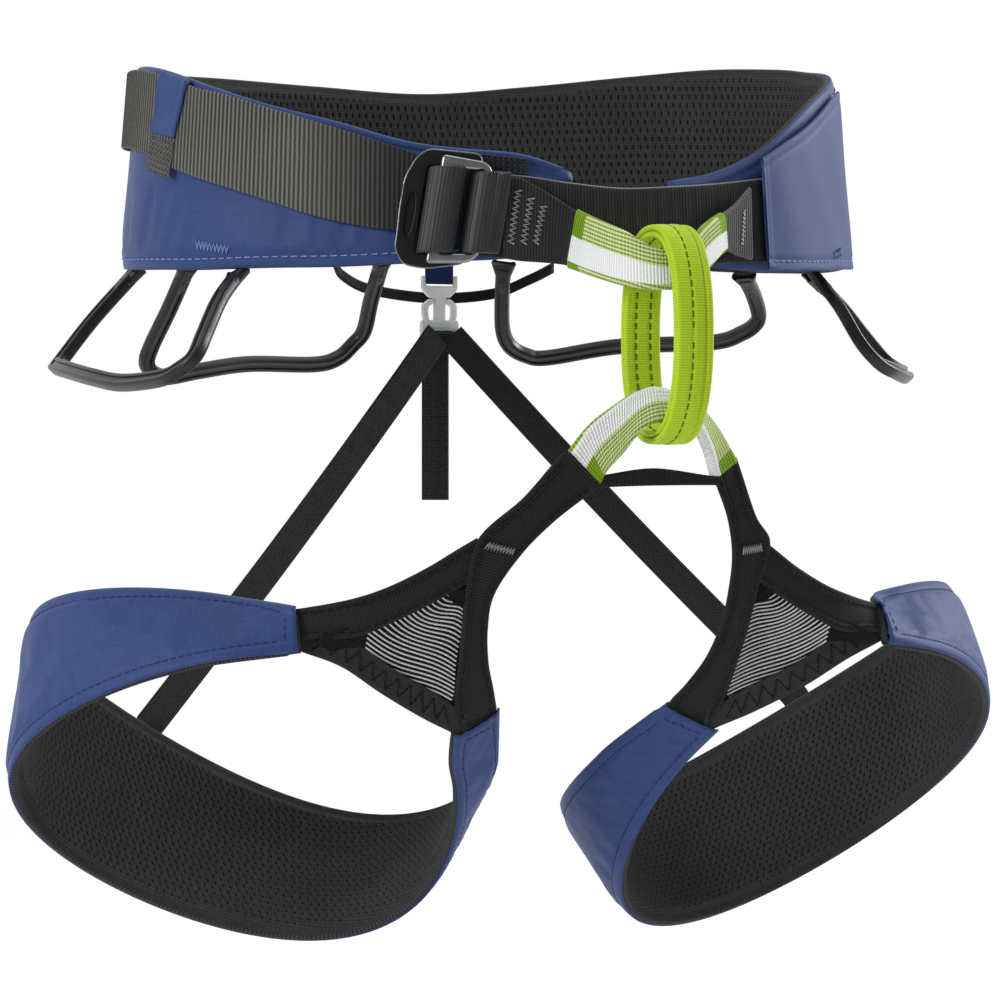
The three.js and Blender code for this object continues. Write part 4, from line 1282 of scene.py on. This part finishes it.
def striped_window(side, body):
    """Dark cloth in the yoke's opening, with pale threads laid across it in waves."""
    rows = smooth(longer(mirrored(WINDOW, side, YOKE_MIDLINE), 3, 5), fine=30)
    tuck = unit(rows[:, 1] - rows[:, 0]) * WINDOW_TUCK
    rows = np.stack([rows[:, 0] - tuck, rows[:, 1] + tuck], 1) + np.array(BACKWARD) * 2.2
    strip = Strip(rows, FORWARD, step=0.5)
    s = np.linspace(0, strip.length, 110)[:, None]
    x = np.linspace(-1, 1, 60) * strip.width(s)
    grid = strip.at(s, x, 0.12 * ridges(s, STRIPE_PITCH))
    cloth = slab(body + "_window_cloth", grid, 0.5, BLACK_CLOTH, body, s + 0 * x, x)
    dress(cloth, body + "_mesh_window")
    pale = []
    across = np.linspace(-1, 1, 40)
    for place in np.arange(4.5, strip.length + 1, STRIPE_PITCH):
        wave = 1.5 * min(1, place / 14) * np.sin(2.6 * across + 0.4)
        along = np.clip(place + wave, 0.3, strip.length - 0.3)
        half = strip.width(along) - 3.5
        far = np.minimum(half, STRIPE_REACH - half)
        pale.append(strip.at(along, (across + 1) / 2 * (far + half) - half, 0.4))
    threads = dress(tubes(body + "_window_pale_threads", pale, 0.36, PALE_THREAD, body, 8))
    declare_cloth(cloth, strip)


def woven(u, x):
    """Relief of the diamond weave on the elastics."""
    return 0.13 * ridges(u + x, 2.1) * ridges(u - x, 2.1)


def elastic(name, strip, body):
    return ribbon(name, strip, -0.75, 0.75, ELASTIC, body, 0.5, 0.5, woven)


SEWN_END = 12
ELASTIC_START = {
    "left": [CLIP_X + 3.5, CLIP_Y - 5.2, -63],
    "right": [CLIP_X - 3.5, CLIP_Y - 7.2, -63],
}


def rear_elastic(side, body):
    """Elastic from the clip to the back of a leg pad."""
    low, high = (mirrored(leg_edge(curve, ELASTIC_ANGLE[side]), side, LEG_MIDLINE)
                 for curve in (LEG_LOWER, LEG_UPPER))
    start, target = np.array(ELASTIC_START[side]), high + [0, 9, 1]
    across = unit(np.cross(target - start, [0, 1, 0])) * ELASTIC_WIDTH / 2
    t = np.linspace(0, 1, 30)[:, None]
    line = start * (1 - t) + target * t
    line[:, 2:] -= 2.5 * np.sin(np.pi * t)
    # Its end turns down and lies on the outside of the leg pad, where it is sewn.
    t = np.linspace(0, 1, 8)[1:, None]
    inward = np.array(FORWARD) * 3.4 * np.minimum(3 * t, 1)
    line = np.vstack([line, target + unit(low - high) * t * SEWN_END + inward])
    strip = Strip(np.stack([line - across, line + across], 1), FORWARD)
    made = dress(elastic("rear_elastic_" + side, strip, None), body + "_rear_elastic")
    start * MM
    target * MM
    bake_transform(made)


def cross_strap():
    strip = Strip(smooth(longer([
        [[-8.5, -142.6, -129.2], [-9.5, -142.8, -124.4]],
        [[10, -143.4, -128.6], [10, -143.4, -122]],
        [[33.5, -141.6, -128.4], [33, -141.8, -124.6]],
    ], 5, 5)), FORWARD)
    made = ribbon("cross_strap_webbing", strip, -0.7, 0.7, YOKE, "belt", 0.4, 0.8, ribs(0.1, 1.2))
    dress(made, "cross_strap")


# ---- gear loops
GEAR_LOOPS = {
    "side_right": [
        [-127, -57.5, -48], [-137, -67, -58], [-146, -77, -71], [-152, -83, -80], [-157, -79, -85],
        [-161, -69, -88], [-168, -42, -89], [-172, -14, -86], [-173.5, 14, -82.5], [-172.5, 32, -80.5],
        [-168, 42, -78], [-154, 44, -61], [-136.5, 44, -42],
    ],
    "side_left": [
        [114.5, -72, -45.5], [118, -84, -57], [124, -90, -71], [132, -90, -79], [142, -84, -82],
        [159, -60, -83], [181, -20, -81], [193, 8, -79], [192, 19, -74], [180, 18, -62],
        [168, 16, -50], [153.5, 13, -40],
    ],
    "rear_right": [
        [-104, 77, -38], [-108, 88, -54], [-112, 100, -69], [-113, 104, -76], [-110, 106, -80],
        [-103, 108, -82], [-86, 114, -79], [-61, 124, -75.5], [-28, 134, -75], [-16, 136, -72],
        [-9, 136, -66], [-5, 133, -60], [-5, 124, -47], [-5, 110.5, -31.5],
    ],
    "rear_left": [
        [49, 104, -33], [52, 113, -46], [56, 122, -59], [61, 126, -66], [69, 127, -70],
        [79, 126, -71], [108, 112, -66], [138, 81, -65], [148, 70, -61], [152, 65, -57],
        [152, 62, -53], [146, 55, -45], [138, 46, -38.6],
    ],
}
# Half of the bar's section, with a groove along its broad face.
BAR_SIDE = [
    (3.2, 0.9), (3.1, 1.6), (2.75, 2.2), (2.2, 2.45), (1.5, 2.45), (1.15, 2.3), (0.95, 1.7), (0, 1.55),
    (-0.95, 1.7), (-1.15, 2.3), (-1.5, 2.45), (-2.2, 2.45), (-2.75, 2.2), (-3.1, 1.6), (-3.2, 0.9),
]
GROOVE_HALF = 1.0
SOLID_HALF = 2.4              # half the bar's depth where it has no groove, below the tabs


def gear_loop(place, rows):
    body = "gear_loop_" + place
    rows = np.array(rows, float)
    line = smooth(rows, fine=10)
    far = travelled(line)
    even = np.linspace(0, far[-1], int(far[-1] / 1.2))
    line = read(even, far, line)
    normal = unit(np.cross(rows[-1] - rows[0], rows.mean(0) - rows[0]))
    run = unit(np.gradient(line, axis=0))
    wide = unit(np.cross(run, normal))
    deep = unit(np.cross(run, wide))
    section = np.array(BAR_SIDE + [(-x, -y) for x, y in BAR_SIDE])
    grooved = np.clip((np.minimum(even, even[-1] - even) - 9) / 3, 0, 1)[:, None]
    sections = np.repeat(section[None], len(line), 0)
    sunk = np.abs(section[:, 0]) < GROOVE_HALF
    depth = np.abs(section[sunk, 1])
    sections[:, sunk, 1] = np.sign(section[sunk, 1]) * (SOLID_HALF + grooved * (depth - SOLID_HALF))
    made = sweep(body + "_moulded", line, wide, deep, sections, PLASTIC, body)
    made.data.set_sharp_from_angle(angle=math.radians(42))
    dress(made, body)
    for end, tip, toward in (("a", rows[0], rows[1]), ("b", rows[-1], rows[-2])):
        gear_foot(f"{body}_foot_{end}", tip, unit(toward - tip), normal, body)
        gear_tab(f"gear_tab_{place}_{end}", tip)


def gear_foot(name, tip, along, normal, body):
    """A wider foot that holds an end of a gear loop below the pad."""
    t = np.linspace(-2.5, 6, 9)[:, None]
    half = unit(np.cross(along, normal)) * (3.4 + 2.6 * np.clip((4 - t) / 8, 0, 1))
    centre = tip + along * t
    foot = Strip(np.stack([centre - half, centre + half], 1), normal, step=0.8)

    def taper(u, x):
        return -1.1 * np.clip((8 - u) / 8, 0, 1)
    dress(ribbon(name, foot, -2.7, 2.7, PLASTIC, body, 0.6, 0.8, taper))


TAB_OUT = -9.2                # the tabs are sewn to the lining
TAB_HALF_ANGLE = 3


def gear_tab(name, tip):
    """Tape sewn inside the pad's lower edge, above an end of a gear loop."""
    angle = waist_angle(tip)
    heights = np.linspace(tip[2] + 3.6, tip[2] + 12, 12)
    edges = [on_waist(np.full(12, angle + turn), heights, TAB_OUT)
             for turn in (-TAB_HALF_ANGLE, TAB_HALF_ANGLE)]
    inward = on_waist(angle, 0, 0) - on_waist(angle, 0, 1)
    strip = Strip(np.stack(edges, 1), inward, step=0.5)

    def hem(u, x):
        return 0.1 * ridges(u, 1.2) + 0.12 * np.clip(1.6 - strip.width(u) + np.abs(x), 0, 1)
    tape = ribbon(name + "_tape", strip, -0.4, 0.4, DARK, "belt", 0.4, 0.7, hem)
    dress(tape, name)
    tack = bartack(strip, strip.length / 2, 0, 0.62, 3.0, 9, 9)
    sew(name + "_bartack", [tack], 0.26, BLACK_THREAD, "belt")


def haul_loop():
    angle, out, z = np.array([
        [190, 3.6, -31], [187, 12, -36.5], [181, 20, -42], [171, 24, -45], [162, 22, -43],
        [156.5, 13, -37], [153, 3.6, -32.5],
    ], float).T
    line = smooth(on_waist(angle, z, out))
    strip = Strip(np.stack([line - [0, 0, 2.4], line + [0, 0, 2.4]], 1), BACKWARD)

    def groove(u, x):
        return 0.08 * ridges(u, 1.2) - 0.12 * dent(x, 0.5)
    made = ribbon("haul_loop_band", strip, -0.95, 0.95, YOKE, "haul_loop", 0.4, 0.8, groove)
    dress(made, "haul_loop")


# ---- rear tab, release clip and tail


def clip_part(name, outlines, thickness, bevel, body="belt", base=None, node=None):
    """Clear plate from flat outlines in x and z about the clip, with its thickness along y."""
    matrix = np.eye(4)
    matrix[:3, 1], matrix[:3, 2] = (0, 0, 1), (0, -1, 0)
    matrix[:3, 3] = (CLIP_X, CLIP_Y, 0)
    base = -thickness / 2 if base is None else base
    made = bevelled(name, outlines, base, thickness, matrix, CLEAR, body, bevel)
    dress(made, node)


def hanging(top, bottom, y, x=CLIP_X, half=6.5):
    """A flat strip that hangs down from z top to z bottom."""
    return Strip([[[x - half, y, z], [x + half, y, z]] for z in np.linspace(top, bottom, 30)], FORWARD)


def rear_clip():
    plug = rounded([
        [-8, -37], [-6.8, -37], [-6.8, -41.4], [6.8, -41.4], [6.8, -37], [8, -37], [8, -43],
        [4.6, -46.5], [2.4, -46.5], [2.4, -57], [-2.4, -57], [-2.4, -46.5], [-4.6, -46.5], [-8, -43],
    ], 1.4, 5)
    clip_part("clip_plug_body", [plug], 3.6, 0.55, node="clip_plug")
    for side, sign in (("left", 1), ("right", -1)):
        arm = rounded([[sign * x, z] for x, z in (
            (2.9, -47), (4.6, -47), (7.8, -49.5), (7.8, -54.6), (6.8, -57), (4.9, -57),
            (5.6, -52.6), (5.4, -50.4), (2.9, -49))], 0.9, 4)
        node = "clip_arm_" + side
        clip_part(node + "_sprung", [arm], 3.4, 0.45, node, node=node)
    socket = rounded([
        [-8, -56.2], [8, -56.2], [8.4, -58], [8.4, -65], [7.4, -66], [-7.4, -66], [-8.4, -65], [-8.4, -58],
    ], 1.2, 4)
    hole = rounded([[-6.4, -61], [6.4, -61], [6.4, -63.4], [-6.4, -63.4]], 0.6)
    clip_part("clip_socket_body", [socket, hole], 4.6, 0.6, node="clip_socket")
    ridge = rounded([[-5.6, -57.2], [5.6, -57.2], [4.8, -59.8], [-4.8, -59.8]], 0.8)
    for face, base in (("front", 2.3), ("back", -2.9)):
        clip_part("clip_socket_grip_" + face, [ridge], 0.6, 0.25, base=base)
    strip = hanging(-29.5, -40.6, CLIP_Y)
    tab = ribbon("rear_tab_cloth", strip, -0.75, 0.75, NAVY, "belt", 0.6, 0.8)
    declare_cloth(dress(tab, "rear_tab"), strip)
    strip = hanging(-66, -134, CLIP_Y + 3.4, CLIP_X - 0.5, ELASTIC_WIDTH / 2)
    dress(elastic("strap_tail_elastic", strip, "strap_tail"), "strap_tail")
    wrap = smooth([
        [3.2, -70], [3.6, -65], [3.2, -62.4], [0, -61.6], [-3.2, -62.4], [-3.6, -65], [-3.2, -71],
    ])
    edges = [np.column_stack([np.full(len(wrap), CLIP_X + x), CLIP_Y + wrap[:, 0], wrap[:, 1]])
             for x in (-6, 6)]
    fold = Strip(np.stack(edges, 1), BACKWARD, step=0.5)
    made = ribbon("clip_webbing_fold", fold, -0.6, 0.6, ELASTIC, "belt", 0.5, 0.5, woven)
    dress(made)


# ---- studio
# In metres and degrees.
FLOOR_BELOW = 0.05            # the floor lies this far under the lowest point
FLOOR_FADE = (0.3, 1.5)       # distances from its middle between which it fades out
CAMERA_AZIMUTH = -22
CAMERA_DISTANCE = 1.7
CAMERA_HEIGHT = -0.134
CAMERA_SHIFT = 0.005
LAMPS = {
    "left": dict(at=(-2.2, -0.9, 0.7), size=0.9, energy=38),
    "right": dict(at=(2.2, 0.1, 0.9), size=0.9, energy=42),
    "top": dict(at=(0, -0.4, 2.2), size=1.2, energy=9),
}


def studio():
    """Pale floor that fades out, soft lights, and a long lens in front."""
    bpy.context.scene.view_settings.view_transform = "Standard"
    bpy.ops.mesh.primitive_circle_add(vertices=96, radius=2.4, fill_type="NGON",
                                      location=(0, 0, CAD_BOX[0][2] - FLOOR_BELOW))
    floor = bpy.context.object
    floor.name = "studio_floor"
    f = Finish("pale_floor", 0.9)
    where = f.node("ShaderNodeTexCoord", {}, "Object")
    distance = f.node("ShaderNodeVectorMath", {0: where}, "Value", operation="LENGTH")
    clear = f.node("ShaderNodeBsdfTransparent", {})
    solid = Value(f, f.shader.outputs[0])
    both = f.node("ShaderNodeMixShader", {0: f.ramp(distance, *FLOOR_FADE), 1: solid, 2: clear})
    f.put(both, f.tree.nodes["Material Output"].inputs["Surface"])
    floor.data.materials.append(f.finish("f4f4f3"))
    floor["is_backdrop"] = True
    backdrop()
    for name, values in LAMPS.items():
        lamp = bpy.data.lights.new(name, "AREA")
        lamp.shape = "DISK"
        lamp.size = values["size"]
        lamp.energy = values["energy"]
        look_at(add(name, lamp), values["at"], (0, 0, -0.12))
    camera = bpy.data.cameras.new("camera")
    camera.lens = 150
    camera.sensor_width = 36
    camera.clip_end = 30
    holder = add("camera", camera)
    turn = math.radians(CAMERA_AZIMUTH)
    ahead = np.array([-math.sin(turn), math.cos(turn), 0])
    aside = np.array([math.cos(turn), math.sin(turn), 0])
    at = aside * CAMERA_SHIFT - ahead * CAMERA_DISTANCE + [0, 0, CAMERA_HEIGHT]
    look_at(holder, at, at + ahead)
    bpy.context.scene.camera = holder


def backdrop():
    """White surroundings, less bright on the side that faces the front of the object."""
    world = bpy.context.scene.world or bpy.data.worlds.new("studio")
    bpy.context.scene.world = world
    world.use_nodes = True
    tree = world.node_tree
    sky = tree.nodes["Background"]
    sky.inputs[0].default_value = (1, 1, 1, 1)
    where = tree.nodes.new("ShaderNodeTexCoord")
    along = tree.nodes.new("ShaderNodeVectorMath")
    along.operation = "DOT_PRODUCT"
    along.inputs[1].default_value = (0.37, 0.93, 0)
    tree.links.new(where.outputs["Generated"], along.inputs[0])
    fade = tree.nodes.new("ShaderNodeMapRange")
    fade.clamp = True
    for key, value in (("From Min", -0.5), ("From Max", 0.5), ("To Min", 0.29), ("To Max", 1.0)):
        fade.inputs[key].default_value = value
    tree.links.new(along.outputs["Value"], fade.inputs["Value"])
    tree.links.new(fade.outputs[0], sky.inputs[1])


def look_at(thing, at, aim):
    at, aim = Vector(at), Vector(aim)
    thing.location = at
    thing.rotation_euler = (aim - at).to_track_quat("-Z", "Y").to_euler()


# ---- assembly
studio()
waist_pad()
belt_webbing()
keeper()
buckle()
tie_in_points()
belay_loop()
for side in ("right", "left"):
    body = "leg_" + side
    leg_pad(side, body)
    leg_yoke(side, body)
    rear_elastic(side, body)
cross_strap()
for place, rows in GEAR_LOOPS.items():
    gear_loop(place, rows)
haul_loop()
rear_clip()


def corners(box):
    return [list(corner) for corner in box]


{"cad": corners(CAD_BOX), "visual": corners(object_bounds())}
